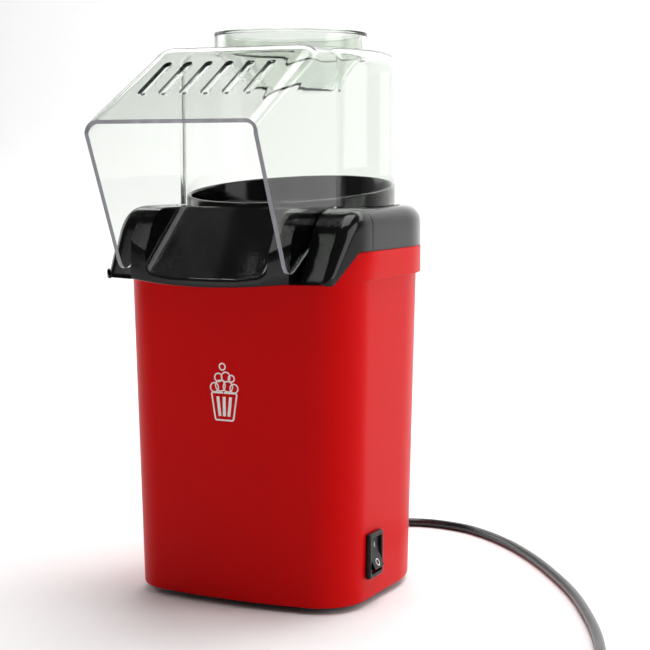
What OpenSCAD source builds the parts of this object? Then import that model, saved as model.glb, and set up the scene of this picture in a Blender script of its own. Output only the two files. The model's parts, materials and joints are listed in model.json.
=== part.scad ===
// Hot-air popcorn maker: a red moulded body with a black upper housing and chute,
// a clear hood with a measuring cup in its top, and the fan, heater and popping
// chamber inside.  Units are millimetres, +Z is up and the chute faces -Y.
// The origin is the middle of the appliance's footprint, on the table.

/* [Body] */
// Width of the red body at its top
body_w = 120; // [112:1:146]
// How much further in each side stands at the bottom edge
side_lean = 3.3; // [0:0.1:5]
// Height of the red wall, from its bottom edge to the step under the band
body_h = 147.2; // [120:0.2:180]
// Distance from the chamber's axis forward to the front face, at the step
front_reach = 62.3; // [58:0.1:75]
// How much further back the front face stands at the bottom edge
front_lean = 2.2; // [0:0.1:5]
// How far the middle of the front face bows out
front_bow = 2.4; // [1:0.1:4]
// Radius of the two front corners
corner_r = 22; // [16:0.5:26]
// Wall thickness of the moulded shells
wall = 2.2; // [1.8:0.1:2.6]
// Height of the band around the top of the body
band_h = 13; // [9:0.5:16]
// How far the band stands out from the body
band_step = 2.2; // [1:0.1:3]
// Height of the rubber feet, which lift the body off the table
feet_h = 3; // [2:0.5:5]
// Radius of a rubber foot
foot_r = 7; // [5:0.5:8]

/* [Upper housing] */
// Height from the top of the band to the flat deck
deck_h = 18.8; // [15:0.2:23]
// Radius of the deck's outer edge
deck_edge_r = 8; // [4:0.5:10]
// How far the nose stands ahead of the chamber's axis
nose_reach = 86; // [82:0.5:92]
// Radius of the bow of the nose, seen from above
nose_bow_r = 130; // [100:1:200]
// Width of the nose
nose_w = 116; // [112:0.5:118]
// Width of the chute between the two inner ridges
chute_w = 62; // [50:1:66]
// Height of the chute's front lip above the step
lip_h = 1.8; // [1:0.1:4]
// How far the middle of the apron hangs below the step
apron_dip = 2; // [0:0.1:3]
// Radius of the round front of the two outer shoulders
shoulder_r = 22; // [18:0.5:24]
// Radius of the round front of the two inner ridges
ridge_r = 14; // [10:0.5:16]

/* [Popping chamber] */
// Inner radius of the aluminium popping chamber
chamber_r = 40; // [32:0.5:41]
// Depth of the popping chamber below the deck
chamber_depth = 66; // [55:0.5:72]
// Thickness of the pressed aluminium
chamber_t = 1.2; // [0.8:0.1:1.5]
// Number of slanted air louvres around the bottom of the chamber
louvre_count = 12; // [8:1:16]

/* [Hood and measuring cup] */
// Outer radius of the round part of the clear hood
hood_r = 52.3; // [50:0.1:53]
// Wall thickness of the clear hood
hood_t = 2; // [1.6:0.1:2.4]
// Height of the hood's flat top above the deck
hood_h = 72; // [60:0.5:86]
// Outer width of the hood's front box
hood_box_w = 84.6; // [78:0.2:86]
// How far the top of the mouth stands ahead of the chamber's axis
mouth_reach = 111.2; // [105:0.2:120]
// Height of the top of the mouth above the deck
mouth_h = 38.5; // [32:0.5:44]
// Outer radius of the collar around the hood's top opening
chimney_r = 36.4; // [32:0.2:38]
// Height of that collar above the hood's flat top
chimney_h = 7.4; // [5:0.2:12]
// Number of steam slots in the sloping roof
slot_count = 6; // [3:1:6]
// Distance between steam slots
slot_pitch = 10.5; // [9:0.1:11]
// Depth of the measuring cup
cup_depth = 26; // [18:0.5:30]
// Outer radius of the measuring cup's floor
cup_floor_r = 19; // [15:0.5:24]

/* [Fan and heater] */
// Radius of the steel can around the heater and the chamber
can_r = 46.5; // [45:0.1:48]
// Thickness of the steel can and of the motor bracket
steel_t = 0.8; // [0.6:0.1:1.2]
// Length of the steel can
can_h = 105.8; // [98:0.2:108]
// Outer radius of the fan impeller
impeller_r = 40; // [32:0.5:42]
// Number of blades on the impeller
blade_count = 9; // [5:1:12]
// Radius of the motor's case
motor_r = 13.9; // [12:0.1:16]
// Length of the motor's case
motor_h = 36; // [30:0.5:38]
// Radius of the motor's shaft
shaft_r = 1.15; // [1:0.05:1.5]

/* [Power switch and cord] */
// Height of the switch's bezel
bezel_h = 21; // [20:0.5:24]
// Width of the switch's bezel
bezel_w = 15; // [14:0.5:18]
// Height of the switch's middle above the table
switch_z = 23.7; // [20:0.1:30]
// Distance from the chamber's axis forward to the middle of the switch
switch_fore = 30.5; // [24:0.5:32]
// Diameter of the mains cord
cord_d = 4.5; // [4:0.1:5]
// Height above the table at which the cord leaves the body
cord_exit_z = 14; // [13:0.5:15]

/* [Hidden] */
$fn = 96;

// Small amounts that are used all over
eps = 0.01;        // makes a cut run clear of the face that it cuts
thin = 0.02;       // thickness of the slabs that a lofted shape is stretched between
running_gap = 0.4; // between pieces that move past each other
seat_gap = 0.2;    // between pieces that are fitted into each other and stay put
shaft_gap = 0.05;  // radial clearance of a running shaft
screw_gap = 0.3;   // radial clearance of a screw in a plain hole
thread_gap = 0.05; // radial clearance of a screw's thread in its moulded pilot hole

// Levels, from the table up
body_z = feet_h;
step_z = body_z + body_h;
band_z = step_z + band_h;
deck_z = band_z + deck_h;
hood_z = deck_z + hood_h;
half_w = body_w / 2;
half_base = half_w - side_lean;
band_half = half_w + band_step;
band_end_top = 8.6; // how far behind the front face the band's slanted end starts and stops
band_end_low = 2.4;

// The chamber's axis lies this far behind the middle of the footprint
axis_y = (mouth_reach - band_half) / 2;

// Popping chamber, gasket and can, hung from the underside of the deck
gasket_t = 0.8;
gasket_z = deck_z - wall - gasket_t;
flange_z = gasket_z - chamber_t;
chamber_floor_z = deck_z - chamber_depth;
chamber_edge_r = 9;
can_top_z = flange_z;
can_z = can_top_z - can_h;
can_outer_r = can_r + steel_t;
flange_r = can_outer_r + 1.7;

// Collar around the opening of the chamber, cut off on a slant
collar_r = hood_r - hood_t - running_gap;
collar_front_z = deck_z + 2;
collar_rear_z = deck_z + 13.5;

// Screws
screw_r = 1.25;
screw_head_r = 2.6;
screw_head_h = 1.8;
boss_r = 4;
post_r = 3.5;
ledge_r = 5.5;
ledge_in = 4;
lug_ring_r = can_outer_r + 6.2;
lug_z = can_top_z - 8.6;
lug_angles = [45, 135, 225, 315];

// Fan and motor, below the can
bracket_z = can_z - steel_t;
rim_r = can_outer_r + 4.7;
bracket_screw_r = can_outer_r + 2.5;
bracket_angles = [30, 150, 270];
fan_z = can_z + 4;
fan_h = 11;
hub_r = 7;
motor_z = bracket_z - motor_h;
motor_boss_r = 4;
motor_case_t = 1;
end_cap_h = 3;
board_z = motor_z - end_cap_h - 4.5;
board_t = 1.6;
board_r = 12;
mica_z = fan_z + fan_h + 4;
mica_h = 24;
mica_t = 1;
coil_wire_r = 1.6;
coil_rings = [[34, 6], [25, 6], [34, 14], [25, 14]];

// Rocker switch on the right side
switch_wall_x = half_base + (half_w - half_base) * (switch_z - body_z) / body_h;
bezel_t = 2;
bezel_lift = seat_gap + bezel_h / 2 * side_lean / body_h; // clears the leaning wall at the bezel's top
case_h = bezel_h - 2;
case_w = bezel_w - 2;
case_depth = 16;
case_t = 1.2;
pivot_in = 1.5;
pivot_r = 1.2;
rocker_w = case_w - 2 * case_t - 2 * running_gap;
rocker_tilt = 12;
rocker_end_gap = 1.1;

// Cord: its route where it isn't coiled, then the coil's middle and size
cord_r = cord_d / 2;
relief_r = 4.2;
cord_route = [
  [0, 108, 14], [0, 114, 13.2], [0, 122, 10.6], [0.4, 131, 6.6], [3.4, 140.5, 3.6], [10.4, 148.5, 2.4],
  [21, 151.6, 2.3], [34, 150.6, 2.3], [47, 146.4, 2.3], [63, 136, 2.3], [79, 122, 2.3], [92, 108, 2.3],
  [105, 92, 2.3], [118, 74, 2.3], [131, 54.6, 2.3], [142, 36, 2.3], [153, 14.6, 2.3], [164, -9, 2.3],
  [173, -32, 2.3], [181, -57, 2.3], [187, -82, 2.4], [191, -107, 2.7], [192.3, -133, 2.95]
];
coil_mid = [163, -133];
coil_mid_r = 27;
coil_z = 0.7;
tail_route = [
  [163, -162.3, 7.45], [150, -162.5, 6.2], [138, -162.5, 5.6], [127, -162.5, 6.2], [116, -162.5, 7.5]
];
plug_w = 28;
plug_h = 15;
plug_l = 28;
boot_l = 12;
pin_r = 2;
pin_l = 19;
pin_pitch = 19;

// ---------------------------------------------------------------- outlines

module at_axis() {
  translate([0, axis_y, 0]) children();
}

// Plan of the body: a half circle behind, rounded corners and a slight bow in front
module body_plan(half, reach, r, bow) {
  flat = half - r;
  bow_r = (flat * flat + bow * bow) / (2 * bow);
  circle(half);
  translate([-half, r - reach]) square([2 * half, reach - r]);
  translate([-flat, -reach]) square([2 * flat, reach]);
  for (side = [-1, 1]) translate([side * flat, r - reach]) circle(r);
  intersection() {
    translate([0, bow_r - bow - reach]) circle(bow_r, $fn = 240);
    translate([-flat, -reach - bow]) square([2 * flat, reach]);
  }
}

// Plan at the bottom edge or at the step, drawn in by inset all round
module base_outline(inset = 0) {
  body_plan(half_base - inset, front_reach - front_lean - inset, corner_r - inset, front_bow);
}

module step_outline(inset = 0) {
  body_plan(half_w - inset, front_reach - inset, corner_r - inset, front_bow);
}

// The tapered body between two levels, drawn in by inset
module body_taper(inset, z0, z1) {
  hull() {
    translate([0, 0, z0]) linear_extrude(thin) base_outline(inset);
    translate([0, 0, z1 - thin]) linear_extrude(thin) step_outline(inset);
  }
}

// Middle of a front corner, and the place of a screw post near the wall
function corner_mid(half, reach, side) = [side * (half - corner_r), corner_r - reach];
function corner_post(half, reach, side, off) =
  corner_mid(half, reach, side) + (corner_r - wall - off) * [side, -1] * sqrt(0.5);
function rear_post(half, side, angle, off) = (half - wall - off) * [side * cos(angle), sin(angle)];
base_posts = [
  corner_post(half_base, front_reach - front_lean, -1, 3),
  corner_post(half_base, front_reach - front_lean, 1, 3),
  rear_post(half_base, -1, 45, 3), rear_post(half_base, 1, 45, 3)
];
housing_posts = [
  corner_post(half_w, front_reach, -1, ledge_in), corner_post(half_w, front_reach, 1, ledge_in),
  rear_post(half_w, -1, 15, ledge_in), rear_post(half_w, 1, 15, ledge_in)
];
post_ledge_z = step_z - 6;
post_ledge_t = 3;
foot_places = [
  corner_mid(half_base, front_reach - front_lean, -1) + [-1, -3],
  corner_mid(half_base, front_reach - front_lean, 1) + [1, -3],
  [-0.62 * half_base, 0.42 * half_base], [0.62 * half_base, 0.42 * half_base]
];

module ring(r_out, r_in, h) {
  difference() {
    cylinder(h = h, r = r_out);
    translate([0, 0, -eps]) cylinder(h = h + 2 * eps, r = r_in);
  }
}

// A pan-head screw pointing up, with its head's underside at the origin
module screw(length) {
  cylinder(h = length, r = screw_r, $fn = 32);
  translate([0, 0, -screw_head_h]) cylinder(h = screw_head_h, r = screw_head_r, $fn = 32);
}

// ---------------------------------------------------------------- body

module body_shell() {
  color("firebrick") at_axis() difference() {
    union() {
      difference() {
        body_taper(0, body_z, step_z);
        body_taper(wall, body_z - eps, step_z + eps);
      }
      difference() {
        translate([0, 0, step_z - eps]) linear_extrude(band_h + eps)
          body_plan(band_half, front_reach + band_step, corner_r + band_step, front_bow);
        translate([0, 0, step_z - 1]) linear_extrude(band_h + 2) step_outline(wall);
        band_end(0);
      }
      intersection() {
        body_taper(wall / 2, body_z + 2 * wall, step_z);
        union() {
          for (p = base_posts) translate([p.x, p.y, body_z + 2.6 + seat_gap])
            cylinder(h = 18, r = boss_r + 0.5);
          for (p = housing_posts) translate([p.x, p.y, post_ledge_z])
            cylinder(h = post_ledge_t, r = ledge_r);
        }
      }
    }
    for (p = base_posts) translate([p.x, p.y, body_z]) cylinder(h = 16, r = screw_r + thread_gap);
    for (p = housing_posts) translate([p.x, p.y, post_ledge_z - 1])
      cylinder(h = post_ledge_t + 2, r = screw_r + screw_gap);
    // Opening for the switch and hole for the cord's strain relief
    translate([half_base - 12, -switch_fore - case_w / 2 - seat_gap, switch_z - case_h / 2 - seat_gap])
      cube([30, case_w + 2 * seat_gap, case_h + 2 * seat_gap]);
    translate([0, half_base - 12, cord_exit_z]) rotate([-90, 0, 0])
      cylinder(h = 30, r = relief_r + seat_gap);
  }
}

// Everything ahead of the slant on which the band ends, set back by gap
module band_end(gap) {
  translate([-body_w, 0, 0]) rotate([90, 0, 90]) linear_extrude(2 * body_w) polygon([
    [band_end_top - front_reach - gap, band_z + 1], [band_end_low - front_reach - gap, step_z - 1],
    [-2 * front_reach, step_z - 1], [-2 * front_reach, band_z + 1]
  ]);
}

module base_plate() {
  plate_t = 2.6;
  color("dimgray") at_axis() difference() {
    union() {
      translate([0, 0, body_z]) linear_extrude(plate_t) base_outline(wall + seat_gap);
      for (p = foot_places) translate([p.x, p.y, body_z]) cylinder(h = plate_t + 3, r = 5);
    }
    // Air slots under the fan
    for (x = [-28 : 7 : 28]) {
      reach = sqrt(34 * 34 - x * x);
      translate([x - 1.6, -reach, body_z - 1]) cube([3.2, 2 * reach, plate_t + 2]);
    }
    for (p = base_posts) {
      translate([p.x, p.y, body_z - 1]) cylinder(h = plate_t + 2, r = screw_r + screw_gap);
      translate([p.x, p.y, body_z - 1])
        cylinder(h = 1 + screw_head_h - 0.4, r = screw_head_r + screw_gap);
    }
    for (p = foot_places) translate([p.x, p.y, body_z - 1]) cylinder(h = plate_t + 2, r = 2.5 + seat_gap);
  }
}

module rubber_feet() {
  color("#1c1c1c") at_axis() for (p = foot_places) translate([p.x, p.y, 0]) rotate_extrude()
    polygon([[0, 0], [foot_r - 0.8, 0], [foot_r, 0.8], [foot_r, feet_h - seat_gap],
      [2.5, feet_h - seat_gap],
             [2.5, feet_h + 2], [0, feet_h + 2]]);
}

module base_screws() {
  color("silver") at_axis() for (p = base_posts) translate([p.x, p.y, body_z + screw_head_h - 0.4 - 0.05])
    screw(12);
}

module housing_screws() {
  color("silver") at_axis() for (p = housing_posts) translate([p.x, p.y, post_ledge_z - 0.05]) screw(14);
}

// ---------------------------------------------------------------- upper housing

// Side view of a round-fronted shoulder: a round top edge that runs into a slanting front
module shoulder_profile(fore, r, low_z, inset) {
  arc = shoulder_arc(fore, r, inset, 90);
  polygon(concat([[0, low_z], [0, deck_z - inset]], arc, [slant_foot(arc[len(arc) - 1], low_z)]));
}

// A slice of the nose between two widths, on both sides
module shoulder_pair(x0, x1, fore, r, low_z, inset) {
  for (side = [-1, 1]) translate([side > 0 ? x0 : -x1, 0, 0]) rotate([90, 0, 90]) linear_extrude(x1 - x0)
    shoulder_profile(fore, r, low_z, inset);
}

// Plan of the nose: straight flanks and a bowed front
module nose_plan(inset) {
  intersection() {
    translate([0, nose_bow_r - nose_reach]) circle(nose_bow_r - inset, $fn = 360);
    translate([inset - nose_w / 2, inset - nose_reach]) square([nose_w - 2 * inset, nose_reach]);
  }
}

// The hood's side panels stand in two grooves between the ridges and the shoulders
groove_w = hood_t + 2 * running_gap;
groove_mid = hood_box_w / 2 - hood_t / 2;
groove_depth = 6;
outer_fore = 44;
inner_fore = 63;
chute_top_y = -collar_r - 0.2;
chute_lip_y = 1.6 - nose_reach;
chute_lip_z = step_z + lip_h;

groove_start = 38;
slant = 150;

// The round edge of a shoulder, from a steep angle down to where the slant begins
function shoulder_arc(fore, r, inset, first) =
  [for (a = [first : 5 : slant]) [-fore, deck_z - r] + (r - inset) * [cos(a), sin(a)]];
function slant_foot(top, low_z) = [top.x - (top.y - low_z) * tan(slant - 120), low_z];

// Everything above the chute's floor, grown downwards by grow
module chute_space(grow) {
  slope = atan((deck_z - chute_lip_z) / (chute_top_y - chute_lip_y));
  down = grow / cos(slope);
  translate([-chute_w / 2 - grow, 0, 0]) rotate([90, 0, 90]) linear_extrude(chute_w + 2 * grow) polygon([
    [-2 * nose_reach, chute_lip_z - down], [chute_lip_y, chute_lip_z - down],
    [chute_top_y, deck_z - down],
    [chute_top_y, deck_z + 30], [-2 * nose_reach, deck_z + 30]
  ]);
}

// The two grooves, grown by grow into the material around them
module groove_space(grow) {
  arc = shoulder_arc(outer_fore, shoulder_r, groove_depth + grow, 110);
  foot = slant_foot(arc[len(arc) - 1], step_z - 2);
  for (side = [-1, 1]) translate([side * groove_mid - groove_w / 2 - grow, 0, 0]) rotate([90, 0, 90])
    linear_extrude(groove_w + 2 * grow) polygon(concat(
      [[grow - groove_start, deck_z + 5], [grow - groove_start, deck_z - grow]], arc,
      [foot, [-2 * nose_reach, step_z - 2], [-2 * nose_reach, deck_z + 5]]
    ));
}

// The deck, with its rounded edge, down to the top of the band
module deck_form(inset) {
  edge = max(deck_edge_r - inset, 1);
  hull() for (a = [0 : 22.5 : 90]) {
    in = inset + edge * (1 - cos(a));
    translate([0, 0, deck_z - inset - edge * (1 - sin(a)) - thin]) linear_extrude(thin)
      body_plan(band_half - in, front_reach + band_step - in, corner_r + band_step - in, front_bow);
  }
  translate([0, 0, band_z]) linear_extrude(deck_z - inset - edge - band_z)
    body_plan(band_half - inset, front_reach + band_step - inset, corner_r + band_step - inset,
      front_bow);
}

// The nose: round shoulders outside, taller ridges inside, and a bowed front
module nose_form(inset) {
  intersection() {
    translate([0, 0, step_z]) linear_extrude(deck_h + band_h) nose_plan(inset);
    union() {
      shoulder_pair(0, groove_mid, inner_fore, ridge_r, step_z, inset);
      shoulder_pair(groove_mid, nose_w / 2, outer_fore, shoulder_r, step_z, inset);
    }
  }
}

// The housing's outer form, drawn in by inset
module housing_form(inset) {
  difference() {
    union() {
      deck_form(inset);
      nose_form(inset);
    }
    chute_space(inset);
    groove_space(inset);
  }
}

// The room inside the housing: the nose has a floor, and the rest is open to the body below
module housing_cavity() {
  difference() {
    housing_form(wall);
    translate([0, 0, step_z - 1]) linear_extrude(wall + 1) difference() {
      square(4 * nose_reach, center = true);
      step_outline(wall);
    }
  }
  translate([0, 0, step_z - 1]) linear_extrude(wall + 2) intersection() {
    nose_plan(wall);
    step_outline(wall);
  }
}

module upper_housing() {
  color("#141414") at_axis() difference() {
    union() {
      difference() {
        housing_form(0);
        housing_cavity();
        // The red band stands where the nose would run back over it
        difference() {
          translate([0, 0, step_z - 1]) linear_extrude(band_h + 1)
            body_plan(band_half + seat_gap, front_reach + band_step + seat_gap,
              corner_r + band_step, front_bow);
          band_end(seat_gap);
        }
      }
      collar();
      apron();
      for (a = lug_angles) rotate(a) translate([lug_ring_r, 0, lug_z])
        cylinder(h = deck_z - wall / 2 - lug_z, r = boss_r);
      for (p = housing_posts) translate([p.x, p.y, post_ledge_z + post_ledge_t])
        cylinder(h = deck_z - wall / 2 - post_ledge_z - post_ledge_t, r = post_r);
    }
    groove_space(0);
    // Opening over the popping chamber
    translate([0, 0, deck_z - 2 * wall]) cylinder(h = 40, r = chamber_r + 0.8);
    for (a = lug_angles) rotate(a) translate([lug_ring_r, 0, lug_z - 1])
      cylinder(h = 9, r = screw_r + thread_gap, $fn = 32);
    for (p = housing_posts) translate([p.x, p.y, post_ledge_z])
      cylinder(h = post_ledge_t + 14, r = screw_r + thread_gap, $fn = 32);
  }
}

module collar() {
  lean = atan((collar_rear_z - collar_front_z) / (2 * collar_r));
  difference() {
    translate([0, 0, deck_z - wall / 2]) ring(collar_r, collar_r - wall, 30);
    translate([0, -collar_r, collar_front_z]) rotate([lean, 0, 0]) translate([-100, -50, 0])
      cube([200, 250, 60]);
  }
}

// The apron hangs a little lower in the middle of the nose
module apron() {
  half = chute_w / 2 + 8;
  dip_r = (half * half + apron_dip * apron_dip) / (2 * apron_dip);
  intersection() {
    translate([-half, -nose_reach - 1, step_z - apron_dip]) cube([2 * half, 30, apron_dip + 1]);
    translate([0, 0, step_z - apron_dip + dip_r]) rotate([90, 0, 0])
      cylinder(h = 2 * nose_reach, r = dip_r, $fn = 360);
    translate([0, 0, step_z - 5]) linear_extrude(10) difference() {
      nose_plan(0);
      nose_plan(wall);
    }
  }
}

// ---------------------------------------------------------------- popping chamber and heater

module popping_chamber() {
  out_r = chamber_r + chamber_t;
  e = chamber_edge_r;
  color("lightgray") at_axis() difference() {
    rotate_extrude() {
      translate([chamber_r, flange_z]) square([flange_r - chamber_r, chamber_t]);
      translate([chamber_r, chamber_floor_z + e])
        square([chamber_t, flange_z + chamber_t - chamber_floor_z - e]);
      translate([0, chamber_floor_z]) square([out_r - e, chamber_t]);
      intersection() {
        translate([out_r - e, chamber_floor_z + e]) difference() {
          circle(e);
          circle(e - chamber_t);
        }
        translate([out_r - e, chamber_floor_z]) square([e, e]);
      }
    }
    for (i = [0 : louvre_count - 1]) rotate(i * 360 / louvre_count)
      translate([chamber_r - 2, 0, chamber_floor_z + e + 8]) rotate([35, 0, 0]) translate([0, -1.1, -6])
        cube([6, 2.2, 12]);
  }
}

module chamber_gasket() {
  color("wheat") at_axis() translate([0, 0, gasket_z]) ring(flange_r, chamber_r + 3, gasket_t);
}

module heater_can() {
  color("silver") at_axis() difference() {
    union() {
      translate([0, 0, can_z]) cylinder(h = can_h, r = can_outer_r);
      translate([0, 0, can_z]) cylinder(h = steel_t, r = rim_r);
      for (a = lug_angles) rotate(a) {
        translate([lug_ring_r, 0, lug_z - steel_t]) cylinder(h = steel_t, r = boss_r);
        translate([can_r, -boss_r, lug_z - steel_t]) cube([lug_ring_r - can_r, 2 * boss_r, steel_t]);
      }
    }
    translate([0, 0, can_z - 1]) cylinder(h = can_h + 2, r = can_r);
    for (a = lug_angles) rotate(a) translate([lug_ring_r, 0, lug_z - 2])
      cylinder(h = 4, r = screw_r + screw_gap);
    for (a = bracket_angles) rotate(a) translate([bracket_screw_r, 0, can_z - 1])
      cylinder(h = 4, r = screw_r + screw_gap);
  }
}

module can_screws() {
  color("silver") at_axis() for (a = lug_angles) rotate(a)
    translate([lug_ring_r, 0, lug_z - steel_t]) screw(8);
}

// Two crossed sheets of mica that carry the heating element inside the can
module mica_frame() {
  reach = can_r - seat_gap;
  color("tan") at_axis() difference() {
    for (a = [0, 90]) rotate(a) translate([-reach, -mica_t / 2, mica_z])
      cube([2 * reach, mica_t, mica_h]);
    for (c = coil_rings) translate([0, 0, mica_z + c.y]) rotate_extrude()
      translate([c.x, 0]) circle(coil_wire_r + seat_gap, $fn = 24);
  }
}

module heating_element() {
  color("darkgray") at_axis() for (c = coil_rings) translate([0, 0, mica_z + c.y]) rotate_extrude()
    translate([c.x, 0]) circle(coil_wire_r, $fn = 24);
}

// Bimetal thermostat and thermal fuse, both held against the outside of the can
module thermostat() {
  color("ivory") at_axis() rotate(200) translate([can_outer_r, 0, can_top_z - 50]) rotate([0, 90, 0]) {
    translate([0, 0, 0.3]) cylinder(h = 1, r = 6);
    cylinder(h = 0.3, r = 3);
    translate([0, 0, 1.3]) cylinder(h = 3.5, r = 5);
  }
}

module thermal_fuse() {
  color("gainsboro") at_axis() rotate(-20) translate([can_outer_r, 0, can_top_z - 52]) {
    translate([2, 0, 0]) cylinder(h = 11, r = 2);
    translate([2, 0, -7]) cylinder(h = 25, r = 0.5);
  }
}

// ---------------------------------------------------------------- fan and motor

module motor_bracket() {
  color("gray") at_axis() translate([0, 0, bracket_z]) difference() {
    cylinder(h = steel_t, r = rim_r);
    translate([0, 0, -1]) cylinder(h = 3, r = motor_boss_r + seat_gap);
    for (i = [0 : 5]) rotate(i * 60) translate([0, 0, -1]) linear_extrude(3) difference() {
      intersection() {
        circle(45);
        translate([0, -30]) square([60, 60]);
        rotate(-24) square([60, 60]);
        rotate(24) translate([0, -60]) square([60, 60]);
      }
      circle(18);
    }
    for (a = bracket_angles) rotate(a) translate([bracket_screw_r, 0, -1])
      cylinder(h = 3, r = screw_r + screw_gap);
  }
}

module bracket_screws() {
  color("silver") at_axis() for (a = bracket_angles) rotate(a)
    translate([bracket_screw_r, 0, bracket_z]) screw(4);
}

module motor_case() {
  color("silver") at_axis() difference() {
    union() {
      translate([0, 0, motor_z]) cylinder(h = motor_h, r = motor_r);
      translate([0, 0, bracket_z]) cylinder(h = steel_t + 1, r = motor_boss_r);
    }
    translate([0, 0, motor_z - 1]) cylinder(h = motor_h + 1 - motor_case_t, r = motor_r - motor_case_t);
    translate([0, 0, motor_z]) cylinder(h = motor_h + 10, r = shaft_r + shaft_gap);
  }
}

module motor_magnets() {
  color("dimgray") at_axis() translate([0, 0, motor_z + 5]) intersection() {
    ring(motor_r - motor_case_t, motor_r - motor_case_t - 2.2, motor_h - 12);
    for (a = [0, 180]) rotate(a) translate([0, 0, -1]) linear_extrude(motor_h)
      polygon([[0, 0], [motor_r, -motor_r], [2 * motor_r, 0], [motor_r, motor_r]]);
  }
}

module motor_end_cap() {
  color("white") at_axis() difference() {
    union() {
      translate([0, 0, motor_z - end_cap_h]) cylinder(h = end_cap_h, r = motor_r);
      translate([0, 0, motor_z]) cylinder(h = 2, r = motor_r - motor_case_t - seat_gap);
    }
    translate([0, 0, motor_z - 1]) cylinder(h = 10, r = shaft_r + shaft_gap);
  }
}

module motor_rotor() {
  color("sienna") at_axis() translate([0, 0, motor_z + 5]) difference() {
    cylinder(h = motor_h - 12, r = motor_r - motor_case_t - 2.2 - running_gap);
    translate([0, 0, -1]) cylinder(h = motor_h, r = shaft_r);
    for (a = [0 : 120 : 240]) rotate(a) translate([5, -0.8, -1]) cube([10, 1.6, motor_h]);
  }
}

module motor_shaft() {
  color("silver") at_axis() translate([0, 0, motor_z - 0.6])
    cylinder(h = fan_z + fan_h - motor_z + 0.6, r = shaft_r);
}

module fan_impeller() {
  color("black") at_axis() translate([0, 0, fan_z]) difference() {
    union() {
      cylinder(h = fan_h, r = hub_r);
      cylinder(h = 1.2, r = impeller_r * 0.55);
      for (i = [0 : blade_count - 1]) rotate(i * 360 / blade_count) intersection() {
        translate([0, 0, fan_h / 2]) rotate([38, 0, 0]) translate([hub_r - 1, -0.7, -fan_h])
          cube([impeller_r, 1.4, 2 * fan_h]);
        cylinder(h = fan_h, r = impeller_r);
      }
    }
    translate([0, 0, -1]) cylinder(h = fan_h + 2, r = shaft_r);
  }
}

module rectifier_board() {
  color("darkgreen") at_axis() translate([0, 0, board_z]) difference() {
    cylinder(h = board_t, r = board_r);
    for (side = [-1, 1]) translate([side * 8, 0, -1]) cylinder(h = 4, r = 0.9, $fn = 24);
  }
}

module rectifier_diodes() {
  color("#202020") at_axis() for (x = [-6, -2, 2, 6]) translate([x, -3, board_z - 1.35])
    rotate([-90, 0, 0])
    cylinder(h = 6, r = 1.35, $fn = 32);
}

// ---------------------------------------------------------------- switch

// The switch is drawn facing +Z with its length along Y, then stood up on the right wall
module at_switch() {
  at_axis() translate([switch_wall_x, -switch_fore, switch_z]) rotate([0, 90, 0]) rotate(90) children();
}

module switch_case() {
  color("#101010") at_switch() difference() {
    union() {
      translate([-bezel_w / 2, -bezel_h / 2, bezel_lift]) cube([bezel_w, bezel_h, bezel_t]);
      translate([-case_w / 2, -case_h / 2, -case_depth]) cube([case_w, case_h, case_depth + 1]);
    }
    translate([case_t - case_w / 2, case_t - case_h / 2, -9])
      cube([case_w - 2 * case_t, case_h - 2 * case_t, 20]);
    translate([-case_w / 2 - 0.2 + case_t / 2, 0, -pivot_in]) rotate([0, 90, 0])
      cylinder(h = case_w - case_t + 0.4, r = pivot_r + shaft_gap, $fn = 32);
  }
}

module switch_terminals() {
  color("gold") at_switch() for (y = [-6, 0]) translate([-2.4, y - 0.4, -case_depth - 8])
    cube([4.8, 0.8, 8]);
}

// The rocker is the same at both ends and rests tilted, with its lower end standing out
module switch_rocker() {
  half = case_h / 2 - case_t - rocker_end_gap;
  color("#181818") at_switch() translate([0, 0, -pivot_in]) {
    translate([-rocker_w / 2, 0, 0]) rotate([90, 0, 90]) linear_extrude(rocker_w) rotate(-rocker_tilt)
      polygon([
        [-half, 4.1], [0.3 - half, 4.4], [-half / 2, 3.4], [0, 3], [half / 2, 3.4],
        [half - 0.3, 4.4], [half, 4.1],
        [half - 0.8, -2.6], [2.6, -4.4], [-2.6, -4.4], [0.8 - half, -2.6]
      ]);
    translate([case_t / 2 - case_w / 2, 0, 0]) rotate([0, 90, 0])
      cylinder(h = case_w - case_t, r = pivot_r, $fn = 32);
  }
}

// ---------------------------------------------------------------- cord

relief_wall_y = half_base + (half_w - half_base) * (cord_exit_z - body_z) / body_h;

module strain_relief() {
  end = cord_route[0].y - axis_y;
  color("#161616") at_axis() translate([0, 0, cord_exit_z]) rotate([-90, 0, 0]) rotate_extrude() polygon([
    [0, relief_wall_y - wall - 4], [relief_r + 1.8, relief_wall_y - wall - 4],
    [relief_r + 1.8, relief_wall_y - wall - 1.4], [relief_r, relief_wall_y - wall - 1.4],
    [relief_r, relief_wall_y + 0.6], [relief_r + 1, relief_wall_y + 0.6],
    [relief_r + 1, relief_wall_y + 2.4], [cord_r + 0.9, end], [0, end]
  ]);
}

// Clamp that holds the cord down on the base plate, inside the body
module cord_clamp() {
  color("dimgray") at_axis() translate([-9, 34, body_z + 2.6]) difference() {
    cube([18, 8, 10]);
    translate([9, -1, cord_exit_z - body_z - 2.6]) rotate([-90, 0, 0])
      cylinder(h = 10, r = cord_r + 0.2, $fn = 32);
  }
}

// A smooth curve through the route's points, as a list of points
function bend(a, b, c, d, t) =
  0.5 * (2 * b + (c - a) * t + (2 * a - 5 * b + 4 * c - d) * t * t + (3 * b - a - 3 * c + d) * t * t * t);
function smooth(p, steps) = let (n = len(p) - 1) concat(
  [for (i = [0 : n - 1], s = [0 : steps - 1])
    bend(p[max(i - 1, 0)], p[i], p[i + 1], p[min(i + 2, n)], s / steps)], [p[n]]);
function unit(v) = v / norm(v);

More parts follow.
